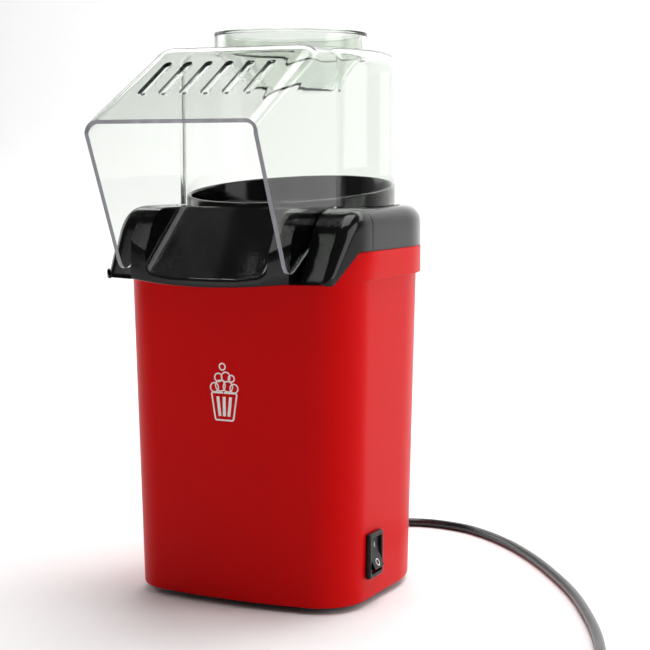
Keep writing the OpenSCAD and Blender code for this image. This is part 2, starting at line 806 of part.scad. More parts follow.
// A tube of radius r swept along points, as one closed polyhedron
module tube(p, r, sides) {
  n = len(p);
  rings = [for (i = [0 : n - 1]) let (
    ahead = unit(p[min(i + 1, n - 1)] - p[max(i - 1, 0)]),
    across = unit(cross([0, 0, 1], ahead)),
    over = cross(ahead, across)
  ) for (k = [0 : sides - 1]) p[i] + r * (cos(360 * k / sides) * across + sin(360 * k / sides) * over)];
  walls = [for (i = [0 : n - 2], k = [0 : sides - 1]) let (a = i * sides, b = (k + 1) % sides)
    [a + k, a + b, a + sides + b, a + sides + k]];
  ends = [[for (k = [sides - 1 : -1 : 0]) k], [for (k = [0 : sides - 1]) (n - 1) * sides + k]];
  polyhedron(points = rings, faces = [for (f = concat(walls, ends))
    [for (j = [len(f) - 1 : -1 : 0]) f[j]]]);
}

module power_cord() {
  color("#0d0d0d") tube(smooth(cord_route, 2), cord_r, 10);
}

module cord_coil() {
  color("#0d0d0d") translate([coil_mid.x, coil_mid.y, coil_z]) rotate_extrude() {
    translate([coil_mid_r - cord_d + cord_r, 0]) square([cord_d, 2 * cord_d]);
    translate([coil_mid_r - cord_d, cord_r]) square([2 * cord_d, cord_d]);
    for (x = [-cord_r, cord_r], z = [cord_r, cord_d + cord_r]) translate([coil_mid_r + x, z])
      circle(cord_r);
  }
}

module cord_tail() {
  color("#0d0d0d") tube(smooth(tail_route, 2), cord_r, 10);
}

// A flat strap around the bundle of turns
module cord_tie() {
  gap = 0.3;
  t = 0.4;
  in_x = coil_mid_r - cord_d - gap;
  in_w = 2 * cord_d + 2 * gap;
  color("#262626") translate([coil_mid.x, coil_mid.y, 0]) rotate(135) rotate([90, 0, 0])
    translate([0, 0, -3])
    linear_extrude(6) difference() {
      translate([in_x - t, 0]) square([in_w + 2 * t, coil_z + 2 * cord_d + gap + t]);
      translate([in_x, t]) square([in_w, coil_z - t + 2 * cord_d + gap]);
    }
}

// Flat two-pin plug lying on its side, with a tapered boot where the cord goes in
module plug_body() {
  at = tail_route[len(tail_route) - 1];
  color("#101010") translate(at) rotate([0, -90, 0]) {
    rotate_extrude() polygon([[0, 0], [cord_r + 0.9, 0], [5.4, boot_l + 2], [0, boot_l + 2]]);
    translate([0, 0, boot_l]) linear_extrude(plug_l) hexagon_plan();
  }
}

module hexagon_plan() {
  h = plug_h / 2;
  w = plug_w / 2;
  polygon([[-h, -w + 5], [-h + 5, -w], [h - 5, -w], [h, -w + 5], [h, w - 5], [h - 5, w],
    [-h + 5, w], [-h, w - 5]]);
}

module plug_pins() {
  at = tail_route[len(tail_route) - 1];
  color("silver") for (side = [-1, 1]) translate(at + [-boot_l - plug_l, side * pin_pitch / 2, 0])
    rotate([0, -90, 0]) rotate_extrude($fn = 48)
      polygon([[0, 0], [pin_r, 0], [pin_r, pin_l - 1], [pin_r - 1, pin_l], [0, pin_l]]);
}

// ---------------------------------------------------------------- hood and cup

mouth_z = deck_z + mouth_h;
hood_edge_r = 10;
leg_end = [-83.4, step_z + 3.4];

// Side view of the front box: sloping roof, slanting mouth, and a lower edge in the groove
module box_profile(inset) {
  roof_y = -50;
  slope = atan((hood_z - mouth_z) / (mouth_reach + roof_y));
  lift = groove_depth - running_gap;
  mid = [-outer_fore, deck_z - shoulder_r];
  r = shoulder_r - lift;
  polygon(concat(
    [[0, hood_z - inset], [roof_y, hood_z - inset], [-mouth_reach, mouth_z - inset / cos(slope)],
     leg_end + [0, 4], leg_end + [1.2, 1.2], leg_end + [4, 0]],
    [for (a = [slant : -5 : 110]) mid + r * [cos(a), sin(a)]],
    [[0.6 - groove_start, deck_z + running_gap], [0, deck_z + running_gap]]
  ));
}

// The hood's outer form, drawn in by inset
module hood_form(inset) {
  w = hood_box_w / 2 - inset;
  e = hood_edge_r - inset;
  r = hood_r - inset;
  translate([0, 0, deck_z + running_gap]) rotate_extrude() {
    square([r, hood_h - running_gap - inset - e]);
    square([r - e, hood_h - running_gap - inset]);
    translate([r - e, hood_h - running_gap - inset - e]) circle(e);
  }
  translate([-w, 0, 0]) rotate([90, 0, 90]) linear_extrude(2 * w) box_profile(inset);
}

module clear_hood() {
  slope = atan((hood_z - mouth_z) / (mouth_reach - 50));
  slot_mid = -79.2;
  slot_w = 4;
  slot_l = 29;
  color("#dfe6e4", 0.4) at_axis() difference() {
    union() {
      difference() {
        hood_form(0);
        hood_form(hood_t);
        // The box is open below, between its side panels, and through its mouth
        translate([hood_t - hood_box_w / 2, -2 * mouth_reach, 0])
          cube([hood_box_w - 2 * hood_t, 2 * mouth_reach - 20, deck_z + 1]);
        translate([0, 0, deck_z - 1]) cylinder(h = 5, r = hood_r - hood_t);
        translate([hood_t - hood_box_w / 2, 0, 0]) rotate([90, 0, 90])
          linear_extrude(hood_box_w - 2 * hood_t)
          polygon([[-mouth_reach - 1, mouth_z - hood_t * 1.2], [-mouth_reach + 3, mouth_z - hood_t * 1.2],
                   [-60, deck_z - 40], [-mouth_reach, deck_z - 40]]);
      }
      translate([0, 0, hood_z - 1]) cylinder(h = chimney_h + 1, r = chimney_r);
    }
    // Seat for the measuring cup
    translate([0, 0, hood_z - 10]) cylinder(h = 30, r = chimney_r - hood_t);
    for (i = [0 : slot_count - 1])
      translate([(i - (slot_count - 1) / 2) * slot_pitch, slot_mid, hood_z - 17])
      rotate([slope, 0, 0]) for (s = [-1, 1]) {
        translate([0, s * (slot_l - slot_w) / 2, -8]) cylinder(h = 18, r = slot_w / 2, $fn = 32);
        translate([-slot_w / 2, -(slot_l - slot_w) / 2, -8]) cube([slot_w, slot_l - slot_w, 18]);
      }
  }
}

module measuring_cup() {
  top_r = chimney_r - hood_t - running_gap;
  rim_z = hood_z + chimney_h;
  floor_z = rim_z - cup_depth;
  t = 1.6;
  color("#dfe6e4", 0.4) at_axis() rotate_extrude() polygon([
    [0, floor_z], [cup_floor_r, floor_z], [top_r, hood_z - 2], [top_r, rim_z],
    [chimney_r, rim_z], [chimney_r, rim_z + t],
    [top_r - t, rim_z + t], [top_r - t, hood_z - 2 + t / 2], [cup_floor_r - t / 2, floor_z + t],
    [0, floor_z + t]
  ]);
}

body_shell();
upper_housing();
base_plate();
rubber_feet();
base_screws();
housing_screws();
popping_chamber();
chamber_gasket();
heater_can();
can_screws();
mica_frame();
heating_element();
thermostat();
thermal_fuse();
motor_bracket();
bracket_screws();
motor_case();
motor_magnets();
motor_end_cap();
motor_rotor();
motor_shaft();
fan_impeller();
rectifier_board();
rectifier_diodes();
switch_case();
switch_terminals();
switch_rocker();
strain_relief();
cord_clamp();
clear_hood();
measuring_cup();
power_cord();
cord_coil();
cord_tail();
cord_tie();
plug_body();
plug_pins();
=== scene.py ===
# %% [markdown]
# # A hot-air popcorn maker, built around its CAD frame
#
# A popcorn maker of this kind is a red moulded body with a fan and a heater inside, a gloss black
# upper housing that carries the popping chamber and the chute, and a clear hood with a measuring cup in
# its top.  The CAD frame holds the sizes and the joints.  This lesson adds the looks: smooth shells,
# the cord at its real length, and a finish for every piece.

# %% Load the frame
import json
import math

import bmesh
import bpy
import numpy as np
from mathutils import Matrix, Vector


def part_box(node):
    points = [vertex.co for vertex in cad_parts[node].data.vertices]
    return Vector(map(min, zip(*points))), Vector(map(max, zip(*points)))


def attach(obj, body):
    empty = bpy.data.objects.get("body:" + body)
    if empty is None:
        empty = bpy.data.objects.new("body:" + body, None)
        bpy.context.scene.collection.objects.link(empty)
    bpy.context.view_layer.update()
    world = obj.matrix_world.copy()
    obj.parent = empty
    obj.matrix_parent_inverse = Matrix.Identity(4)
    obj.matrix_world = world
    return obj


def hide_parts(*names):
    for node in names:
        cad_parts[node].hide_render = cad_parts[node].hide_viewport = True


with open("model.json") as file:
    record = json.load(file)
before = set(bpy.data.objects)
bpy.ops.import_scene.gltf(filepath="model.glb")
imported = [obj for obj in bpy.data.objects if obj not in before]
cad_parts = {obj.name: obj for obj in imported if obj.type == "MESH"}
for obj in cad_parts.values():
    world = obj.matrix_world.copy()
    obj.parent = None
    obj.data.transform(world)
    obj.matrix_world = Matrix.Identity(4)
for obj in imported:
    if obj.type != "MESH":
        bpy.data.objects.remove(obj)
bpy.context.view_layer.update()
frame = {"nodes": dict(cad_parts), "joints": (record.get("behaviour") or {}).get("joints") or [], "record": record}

# %% [markdown]
# ## Where everything is
#
# Every outline below is drawn in millimetres about the axis of the popping chamber, because the chamber,
# the collar, the hood and the rear of the body are all round about it.  The levels are read from the CAD
# nodes, so a piece made here can only land where the frame has room for it.

# %% Levels and reaches, read from the frame
def node_box(node):
    """Lowest and highest corner of a CAD node, in millimetres about the chamber's axis."""
    low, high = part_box(node)
    return (np.array(low) * 1000 - axis_shift, np.array(high) * 1000 - axis_shift)

axis_shift = np.zeros(3)
chamber_low, chamber_high = node_box("popping_chamber")
axis_shift = np.array([0, (chamber_low[1] + chamber_high[1]) / 2, 0])
body_low, body_high = node_box("body_shell")
housing_low, housing_high = node_box("upper_housing")
hood_low, hood_high = node_box("clear_hood")
cup_low, cup_high = node_box("measuring_cup")
gasket_high = node_box("chamber_gasket")[1]

body_z = body_low[2]
band_z = body_high[2]
band_h = 13
band_out = 2.2
step_z = band_z - band_h
wall = 2.2
deck_z = gasket_high[2] + wall
body_half = body_high[0] - band_out
print(f"axis {axis_shift[1]:.1f} mm behind the middle")
print(f"heights: step {step_z:.1f}, band {band_z:.1f}, deck {deck_z:.1f}")

# %% [markdown]
# ## Camera
#
# A product view from the front right, a little above the table.  A long lens keeps the upright edges
# of the body nearly parallel.

# %% Camera
camera_place = np.array([361.8, -675.5, 205.4]) / 1000
camera_turn = math.radians(26.15)
camera_tilt = math.radians(5.92)

camera_data = bpy.data.cameras.new("camera")
camera_data.lens = 90.6
camera_data.sensor_width = 36
camera = bpy.data.objects.new("camera", camera_data)
camera.location = camera_place
camera.rotation_euler = (math.pi / 2 - camera_tilt, 0, camera_turn)
bpy.context.scene.collection.objects.link(camera)
bpy.context.scene.camera = camera
print("camera", camera_place, "mm lens", camera_data.lens)

# %% [markdown]
# ## From a formula to a mesh
#
# A surface here is a grid of points: row by row along one parameter, column by column along the other.
# numpy works out all the points at once, and one function turns a grid into faces.  Where a grid
# closes on itself, its last row or column is joined to its first, and points that fall together at a pole
# or a seam are merged.

# %% Grids into pieces
def grid_faces(rows, columns, close_rows, close_columns):
    """Four-sided faces between each row and the next and each column and the next."""
    index = np.arange(rows * columns).reshape(rows, columns)
    if close_rows:
        index = np.vstack([index, index[:1]])
    if close_columns:
        index = np.hstack([index, index[:, :1]])
    return np.stack([index[:-1, :-1], index[1:, :-1], index[1:, 1:], index[:-1, 1:]], axis=-1).reshape(-1, 4)


def surface(points, close_rows=False, close_columns=False, flip=False, caps=False):
    """A grid of points with its faces; caps closes the two ends of a swept outline with one face each."""
    rows, columns = points.shape[:2]
    quads = grid_faces(rows, columns, close_rows, close_columns)
    faces = (quads[:, ::-1] if flip else quads).tolist()
    if caps:
        ends = [list(range(columns)), list(range(rows * columns - 1, (rows - 1) * columns - 1, -1))]
        faces += [end[::-1] for end in ends] if flip else ends
    return points.reshape(-1, 3), faces


def make_piece(name, body, material, surfaces, closed=True, merge=0.004):
    """One object from several surfaces in millimetres: merged, shaded smooth, and riding on its body."""
    places, faces, count = [], [], 0
    for points, its_faces in surfaces:
        places.append(points)
        faces += [[corner + count for corner in face] for face in its_faces]
        count += len(points)
    mesh = bpy.data.meshes.new(name)
    mesh.from_pydata(((np.vstack(places) + axis_shift) / 1000).tolist(), [], faces)
    piece = bpy.data.objects.new(name, mesh)
    bpy.context.scene.collection.objects.link(piece)
    tidy_mesh(mesh, merge / 1000, closed)
    mesh.materials.append(material)
    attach(piece, body)
    return piece


def tidy_mesh(mesh, merge, closed):
    """Merges points that fall together, drops faces that vanish, and turns a closed shell outwards."""
    work = bmesh.new()
    work.from_mesh(mesh)
    bmesh.ops.remove_doubles(work, verts=work.verts, dist=merge)
    bmesh.ops.dissolve_degenerate(work, edges=work.edges, dist=merge / 4)
    if closed:
        bmesh.ops.recalc_face_normals(work, faces=work.faces)
    work.to_mesh(mesh)
    work.free()
    shade(mesh)


def shade(mesh):
    """Smooth shading, with an edge kept sharp where its faces turn by more than 32 degrees."""
    mesh.polygons.foreach_set("use_smooth", np.ones(len(mesh.polygons), bool))
    mesh.set_sharp_from_angle(angle=math.radians(32))


def apply_modifiers(piece):
    """Swaps the mesh for the one that its modifiers make, and shades it again."""
    graph = bpy.context.evaluated_depsgraph_get()
    graph.update()
    done = bpy.data.meshes.new_from_object(piece.evaluated_get(graph))
    piece.modifiers.clear()
    piece.data = done
    shade(done)


def thicken(piece, thickness, edge_material=None):
    """Gives an open skin a wall on its inner side.  The cut edge may have its own finish."""
    solid = piece.modifiers.new("wall", "SOLIDIFY")
    if edge_material:
        piece.data.materials.append(edge_material)
        solid.material_offset_rim = 1
    solid.thickness = thickness / 1000
    solid.offset = -1
    solid.use_even_offset = False
    apply_modifiers(piece)


def rise(t):
    """Goes from 0 to 1 with no corner at either end: 3t^2 - 2t^3, held outside 0..1."""
    t = np.clip(t, 0, 1)
    return t * t * (3 - 2 * t)


def arc(middle, radius, first, last, count):
    """Points on a circle from one angle to another, in degrees, as rows of two numbers."""
    angle = np.radians(np.linspace(first, last, count))
    return np.asarray(middle) + radius * np.stack([np.cos(angle), np.sin(angle)], axis=-1)


def spun(profile, count):
    """A closed outline in (radius, height), carried round the upright axis: x = r cos a, y = r sin a."""
    angle = np.linspace(0, 2 * np.pi, count, endpoint=False)[:, None]
    r, z = profile[:, 0], profile[:, 1]
    points = np.stack([r * np.cos(angle), r * np.sin(angle), z + 0 * angle], axis=-1)
    return surface(points, close_rows=True, close_columns=True)


def rounded(corners, radii, steps=5):
    """A closed outline with round corners: each corner is cut back along both sides and bridged by a curve
    that blends the two tangents, (1-t)^2 a + 2t(1-t) corner + t^2 b."""
    corners = np.asarray(corners, float)
    radii = np.broadcast_to(np.asarray(radii, float), len(corners))
    t = np.linspace(0, 1, steps)[:, None]
    parts = []
    for here, before, after, r in zip(corners, np.roll(corners, 1, 0), np.roll(corners, -1, 0), radii):
        if r == 0:
            parts.append(here[None])
            continue
        to_before, to_after = before - here, after - here
        length_before, length_after = np.linalg.norm(to_before), np.linalg.norm(to_after)
        half_turn = math.acos(np.clip(to_before @ to_after / length_before / length_after, -1, 1)) / 2
        cut = min(r / math.tan(half_turn), 0.49 * length_before, 0.49 * length_after)
        a = here + to_before / length_before * cut
        b = here + to_after / length_after * cut
        parts.append((1 - t) ** 2 * a + 2 * t * (1 - t) * here + t ** 2 * b)
    return np.vstack(parts)

print("helpers ready")

# %% [markdown]
# ## Materials: one helper and the facts
#
# A finish starts from what the real material is.  Colours are written as the hex value that a paint chart
# would give and turned to linear light once.  One small function adds a node, sets it and links it.  Grain,
# scratches and weave are noise and waves on Object coordinates, whose scale is worked out from a real size
# in millimetres, so they stay put on the piece when it moves.

# %% Colour and node helpers
def linear(hex_value):
    """Linear RGBA from an sRGB hex string, by the sRGB curve."""
    channels = np.array([int(hex_value[i:i + 2], 16) for i in (0, 2, 4)]) / 255
    light = np.where(channels <= 0.04045, channels / 12.92, ((channels + 0.055) / 1.055) ** 2.4)
    return (*light.tolist(), 1.0)


def fill_inputs(tree, node, inputs):
    """Links an input to the socket that it is given, or sets it to the value that it is given."""
    for name, source in inputs.items():
        if isinstance(source, bpy.types.NodeSocket):
            tree.links.new(source, node.inputs[name])
        else:
            node.inputs[name].default_value = source


def add_node(tree, kind, inputs, **settings):
    """Adds a node, gives it its settings (an input by its name, or a property), and fills other inputs."""
    node = tree.nodes.new(kind)
    for name, value in settings.items():
        if name in node.inputs:
            node.inputs[name].default_value = value
        else:
            setattr(node, name, value)
    fill_inputs(tree, node, inputs)
    return node


def new_material(name):
    """An empty material with its output, its Principled shader and its Object coordinates."""
    material = bpy.data.materials.new(name)
    material.use_nodes = True
    tree = material.node_tree
    tree.nodes.clear()
    output = tree.nodes.new("ShaderNodeOutputMaterial")
    shader = tree.nodes.new("ShaderNodeBsdfPrincipled")
    tree.links.new(shader.outputs[0], output.inputs["Surface"])
    place = tree.nodes.new("ShaderNodeTexCoord").outputs["Object"]
    return material, tree, shader, place


def per_metre(size_mm):
    """Scale of a noise whose grains are about this many millimetres apart."""
    return 1000 / size_mm


def waves(pitch_mm):
    """Scale of a wave pattern, which repeats every 2 pi / 20 of its unit, for a pitch in millimetres."""
    return 2 * math.pi * per_metre(pitch_mm) / 20


def finish(name, colour, roughness, grain_mm, bump, colour_shift, rough_shift, stretch=(1, 1, 1), **values):
    """A moulded or sheet finish: a fine grain moves the colour and the roughness a little and lifts the
    surface by a small bump, and a patch pattern forty grains wide keeps large faces from looking printed."""
    material, tree, shader, place = new_material(name)
    base = linear(colour)
    if stretch != (1, 1, 1):
        place = add_node(tree, "ShaderNodeMapping", {"Vector": place}, Scale=stretch).outputs[0]
    grain = add_node(tree, "ShaderNodeTexNoise", {"Vector": place}, Scale=per_metre(grain_mm), Detail=3.0)
    patches = add_node(tree, "ShaderNodeTexNoise", {"Vector": place}, Scale=per_metre(grain_mm * 40),
                       Detail=2.0)
    dark = tuple(c * (1 - colour_shift) for c in base[:3]) + (1,)
    light = tuple(min(c * (1 + colour_shift), 1) for c in base[:3]) + (1,)
    both = add_node(tree, "ShaderNodeMath", {0: grain.outputs[0], 1: patches.outputs[0]}, operation="ADD")
    half = add_node(tree, "ShaderNodeMath", {0: both.outputs[0], 1: 0.5}, operation="MULTIPLY")
    tone = add_node(tree, "ShaderNodeMix", {"Factor": half.outputs[0], 6: dark, 7: light}, data_type="RGBA")
    rough = add_node(tree, "ShaderNodeMapRange",
                     {"Value": half.outputs[0], "To Min": roughness * (1 - rough_shift),
                      "To Max": roughness * (1 + rough_shift)})
    lift = add_node(tree, "ShaderNodeBump", {"Height": grain.outputs[0]}, Strength=bump,
                    Distance=grain_mm / 4000)
    fill_inputs(tree, shader, {"Base Color": tone.outputs[2], "Roughness": rough.outputs[0],
                               "Normal": lift.outputs[0], **values})
    return material

print("red in linear light:", [round(c, 3) for c in linear("c80f10")])

# %% [markdown]
# ## The finishes
#
# - The body is ABS moulded in a lightly blasted tool: a satin skin.  Bare ABS has an IOR of about 1.53.  This
#   body shows its colour with hardly any highlight, so its IOR is matched down to 1.15.
# - The upper housing is ABS from a polished tool, so it mirrors the room, with a gloss that varies a little.
#   Its reflections are matched at an IOR of 1.32, and those of the nylon switch at 1.3.
# - The hood and the cup are clear polycarbonate, with a trace of green-grey.  Polycarbonate has an IOR of
#   1.585.  These walls are thin and show what is behind them nearly straight, so they are matched at 1.28.
#   The hood's cut edges are given a pale grey colour of their own: a painted highlight for the light that they
#   catch.
# - The chamber is spun aluminium: rings around its axis catch the light.
# - Steel sheet is galvanised, screws are zinc plated, and the cord is smooth PVC.

# %% Plastics, metals and the rest
M = {
    "red_body": finish("satin_red_abs", "cc0406", 0.36, 0.35, 0.05, 0.03, 0.08, IOR=1.15),
    "black_housing": finish("gloss_black_abs", "0a0a0b", 0.11, 0.6, 0.02, 0.2, 0.25, IOR=1.32),
    "black_base": finish("matt_black_abs", "1c1c1d", 0.55, 0.4, 0.25, 0.1, 0.1, IOR=1.53),
    "rubber": finish("feet_rubber", "1a1a1a", 0.8, 0.5, 0.4, 0.15, 0.1, IOR=1.52),
    "zinc_steel": finish("zinc_plated_steel", "b9bcc0", 0.32, 0.3, 0.15, 0.05, 0.2, Metallic=1.0),
    "gasket_fibre": finish("pressed_ceramic_fibre", "cfc4a8", 0.95, 0.25, 0.8, 0.15, 0.05),
    "galvanised_steel": finish("galvanised_sheet", "a4a9ae", 0.4, 0.2, 0.12, 0.12, 0.3, Metallic=1.0),
    "mica": finish("mica_sheet", "a9895a", 0.45, 0.5, 0.3, 0.25, 0.2),
    "nichrome": finish("oxidised_nichrome", "5b5650", 0.5, 0.2, 0.3, 0.2, 0.2, Metallic=1.0),
    "ceramic": finish("thermostat_steatite", "e4dec9", 0.6, 0.3, 0.2, 0.06, 0.1),
    "ferrite": finish("sintered_ferrite", "2b2b2d", 0.6, 0.2, 0.4, 0.15, 0.1),
    "white_nylon": finish("white_nylon", "dddcd2", 0.45, 0.4, 0.1, 0.04, 0.1),
    "copper_winding": finish("enamelled_copper_winding", "9a4f24", 0.3, 0.25, 0.8, 0.25, 0.2, (1, 1, 0.1),
                             Metallic=1.0),
    "black_nylon": finish("fan_nylon", "202021", 0.5, 0.4, 0.15, 0.1, 0.1),
    "circuit_board": finish("solder_resist_board", "1f5a2c", 0.3, 0.8, 0.1, 0.15, 0.1),
    "switch_black": finish("switch_nylon_66", "0e0e0f", 0.3, 0.3, 0.12, 0.15, 0.15, IOR=1.3),
    "brass": finish("stamped_brass", "c9a24e", 0.28, 0.3, 0.1, 0.08, 0.2, Metallic=1.0),
    "cord_pvc": finish("smooth_black_pvc", "101011", 0.27, 0.5, 0.06, 0.15, 0.15, IOR=1.53),
    "brass_nickel": finish("nickel_plated_brass", "c8c4b8", 0.22, 0.3, 0.05, 0.05, 0.2, Metallic=1.0),
    "print_white": finish("white_pad_print", "f4f1ee", 0.5, 0.3, 0.1, 0.02, 0.1),
}

# %% Clear polycarbonate
def clear_plastic(name, tint):
    """Transparent moulded plastic: full transmission, a trace of flow ripple in the bump, polished skin."""
    material, tree, shader, place = new_material(name)
    ripple = add_node(tree, "ShaderNodeTexNoise", {"Vector": place}, Scale=per_metre(28), Detail=1.0)
    lift = add_node(tree, "ShaderNodeBump", {"Height": ripple.outputs[0]}, Strength=0.12, Distance=0.0004)
    haze = add_node(tree, "ShaderNodeTexNoise", {"Vector": place}, Scale=per_metre(9), Detail=3.0)
    rough = add_node(tree, "ShaderNodeMapRange", {"Value": haze.outputs[0], "To Min": 0.01, "To Max": 0.035})
    fill_inputs(tree, shader, {"Base Color": linear(tint), "Roughness": rough.outputs[0],
                               "Normal": lift.outputs[0], "Transmission Weight": 1.0, "IOR": 1.28})
    return material


M["clear_polycarbonate"] = clear_plastic("clear_polycarbonate", "eef1ed")
# The hood's cut edges: a pale grey, half-clear colour that paints in the light they catch, a painted highlight.
M["polycarbonate_edge"] = finish("lit_polycarbonate_edge", "aeadb6", 0.25, 0.6, 0.05, 0.05, 0.1,
                                 **{"IOR": 1.585, "Transmission Weight": 0.45})

# %% Spun aluminium and woven tape
def spun_aluminium(name, ring_mm):
    """Aluminium formed on a lathe: rings around the chamber's axis, one to each feed of the roller."""
    material, tree, shader, place = new_material(name)
    centred = add_node(tree, "ShaderNodeMapping", {"Vector": place}, Location=(0, -axis_shift[1] / 1000, 0))
    rings = add_node(tree, "ShaderNodeTexWave", {"Vector": centred.outputs[0]}, wave_type="RINGS",
                     rings_direction="SPHERICAL", Scale=waves(ring_mm), Distortion=0.6)
    grain = add_node(tree, "ShaderNodeTexNoise", {"Vector": place}, Scale=per_metre(0.8), Detail=4.0)
    rough = add_node(tree, "ShaderNodeMapRange", {"Value": grain.outputs[0], "To Min": 0.25, "To Max": 0.42})
    tone = add_node(tree, "ShaderNodeMix", {"Factor": grain.outputs[0], 6: linear("b4b5b6"),
                                            7: linear("d2d3d4")}, data_type="RGBA")
    lift = add_node(tree, "ShaderNodeBump", {"Height": rings.outputs[1]}, Strength=0.15, Distance=0.00004)
    fill_inputs(tree, shader, {"Base Color": tone.outputs[2], "Roughness": rough.outputs[0],
                               "Normal": lift.outputs[0], "Metallic": 1.0})
    return material


def woven_tape(name, thread_mm):
    """Nylon tape: two crossed wave patterns, one thread wide, for the warp and the weft."""
    material, tree, shader, place = new_material(name)
    warp = add_node(tree, "ShaderNodeTexWave", {"Vector": place}, bands_direction="Z", Scale=waves(thread_mm))
    weft = add_node(tree, "ShaderNodeTexWave", {"Vector": place}, bands_direction="DIAGONAL",
                    Scale=waves(thread_mm))
    weave = add_node(tree, "ShaderNodeMath", {0: warp.outputs[1], 1: weft.outputs[1]}, operation="MULTIPLY")
    tone = add_node(tree, "ShaderNodeMix", {"Factor": weave.outputs[0], 6: linear("161617"),
                                            7: linear("3a3a3c")}, data_type="RGBA")
    lift = add_node(tree, "ShaderNodeBump", {"Height": weave.outputs[0]}, Strength=0.6, Distance=0.0001)
    fill_inputs(tree, shader, {"Base Color": tone.outputs[2], "Normal": lift.outputs[0], "Roughness": 0.85})
    return material


M["chamber_aluminium"] = spun_aluminium("spun_aluminium", 0.4)
M["tie_strap"] = woven_tape("woven_nylon_tape", 0.5)
print(len(M), "finishes")

# %% [markdown]
# ## The mains cord
#
# A two-core PVC lead, 4.5 mm thick and about a metre long.  It leaves the rear through a strain
# relief, drops to the table, goes round the right side in one loose curve, and the rest is wound
# into a storage coil with a woven tie.  The route's points are listed; the coil is worked out:
# two turns on the table, one and a quarter on top of them.

# %% Cord route and coil
cord_d = 4.5
cord_route = np.array([
    [0, 108, 14], [0, 114, 13.2], [0, 122, 10.6], [0.4, 131, 6.6], [3.4, 140.5, 3.6], [10.4, 148.5, 2.4],
    [21, 151.6, 2.3], [34, 150.6, 2.3], [47, 146.4, 2.3], [63, 136, 2.3], [79, 122, 2.3], [92, 108, 2.3],
    [105, 92, 2.3], [118, 74, 2.3], [131, 54.6, 2.3], [142, 36, 2.3], [153, 14.6, 2.3], [164, -9, 2.3],
    [173, -32, 2.3], [181, -57, 2.3], [187, -82, 2.4], [191, -107, 2.7]])
tail_route = np.array([[150, -162.5, 6.2], [138, -162.5, 5.6], [127, -162.5, 6.2], [116, -162.5, 7.5]])
coil_mid = np.array([163, -133])
coil_mid_r = 27
coil_z = 0.7
coil_turns = 3.25


def coil_points(count):
    """Clockwise turns: the radius steps in by one cord after a turn and drifts out again on the top layer,
    and the height steps up by one cord where the second layer starts."""
    turn = np.linspace(0, coil_turns, count)
    radius = coil_mid_r + cord_d / 2 + cord_d * (rise((turn - 2) / 1.25) - rise((turn - 0.87) / 0.13))
    height = coil_z + cord_d / 2 + cord_d * rise((turn - 1.68) / 0.19)
    angle = -2 * np.pi * turn
    around = np.stack([np.cos(angle), np.sin(angle)], axis=-1)
    return np.column_stack([coil_mid + radius[:, None] * around, height])


def smooth_path(points, steps):
    """A smooth curve through the points: between b and c it is the cubic that leaves b along c - a and
    reaches c along d - b, where a and d are the neighbours."""
    padded = np.vstack([points[:1], points, points[-1:]])
    a, b, c, d = (padded[i:len(padded) - 3 + i, None] for i in range(4))
    t = np.linspace(0, 1, steps, endpoint=False)[None, :, None]
    curve = 0.5 * (2 * b + (c - a) * t + (2 * a - 5 * b + 4 * c - d) * t ** 2
                   + (3 * b - a - 3 * c + d) * t ** 3)
    return np.vstack([curve.reshape(-1, 3), points[-1:]])


cord_line = smooth_path(np.vstack([cord_route, coil_points(66), tail_route]), 5)
cord_length = np.linalg.norm(np.diff(cord_line, axis=0), axis=1).sum()
print(f"cord {cord_length:.0f} mm long")

# %% The cord as a curve
def round_curve(name, line, diameter):
    """A poly curve along the line with a round section."""
    curve = bpy.data.curves.new(name, "CURVE")
    curve.dimensions = "3D"
    curve.bevel_depth = diameter / 2000
    curve.bevel_resolution = 5
    curve.use_fill_caps = True
    spline = curve.splines.new("POLY")
    spline.points.add(len(line) - 1)
    places = np.hstack([np.asarray(line) / 1000, np.ones((len(line), 1))])
    spline.points.foreach_set("co", places.ravel())
    spline.use_smooth = True
    piece = bpy.data.objects.new(name, curve)
    bpy.context.scene.collection.objects.link(piece)
    return piece


mains_cord = round_curve("mains_cord", cord_line, cord_d)
mains_cord.data.materials.append(M["cord_pvc"])
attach(mains_cord, "housing")
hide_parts("power_cord", "cord_coil", "cord_tail")

# %% [markdown]
# ## What is on the cord
#
# The strain relief is a soft PVC boot with ribs, which spreads the bend over its length.  It is one outline
# spun round the cord's axis: the ribs are a wave on its radius.  The plug is a flat moulding whose cross
# section swells from the boot into a six-sided grip.

# %% Strain relief
def along_y(piece_points, start):
    """Turns an upright spun piece so that its height runs backwards from the start point."""
    return np.stack([piece_points[..., 0] + start[0], piece_points[..., 2] + start[1],
                     piece_points[..., 1] + start[2]], axis=-1)


relief_low, relief_high = node_box("strain_relief")
relief_len = relief_high[1] - relief_low[1]
relief_start = np.array([0, relief_low[1], (relief_low[2] + relief_high[2]) / 2])
wall_at = body_high[1] - relief_low[1] - 5.3


def relief_outline():
    """Radius against length: flange inside, neck through the wall, collar outside, then a taper with ribs
    that are the half waves of a sine and fade towards the end."""
    t = np.linspace(0, 1, 121)
    taper_start = wall_at + 2.6
    s = taper_start + t * (relief_len - taper_start)
    fade = (1 - 0.5 * t) * rise(t * 9) * rise((1 - t) * 9)
    ribs = 0.55 * np.maximum(np.sin(2 * np.pi * 8 * t), -0.2) * fade
    r = 4.9 - 1.9 * t + ribs
    head = np.array([[0, 0], [5.6, 0], [5.9, 0.4], [5.9, 2.3], [4.2, 2.5],
                     [4.2, wall_at + 0.5], [5, wall_at + 0.7], [5.2, wall_at + 1.1]])
    tail = np.array([[cord_d / 2 + 0.5, relief_len], [0, relief_len]])
    return np.vstack([head, np.stack([r, s], axis=-1), tail])


relief_points, relief_faces = spun(relief_outline(), 48)
strain_relief = make_piece("strain_relief_boot", "housing", M["cord_pvc"],
                           [(along_y(relief_points, relief_start), relief_faces)])
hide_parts("strain_relief")
print(f"strain relief {relief_len:.1f} mm long")

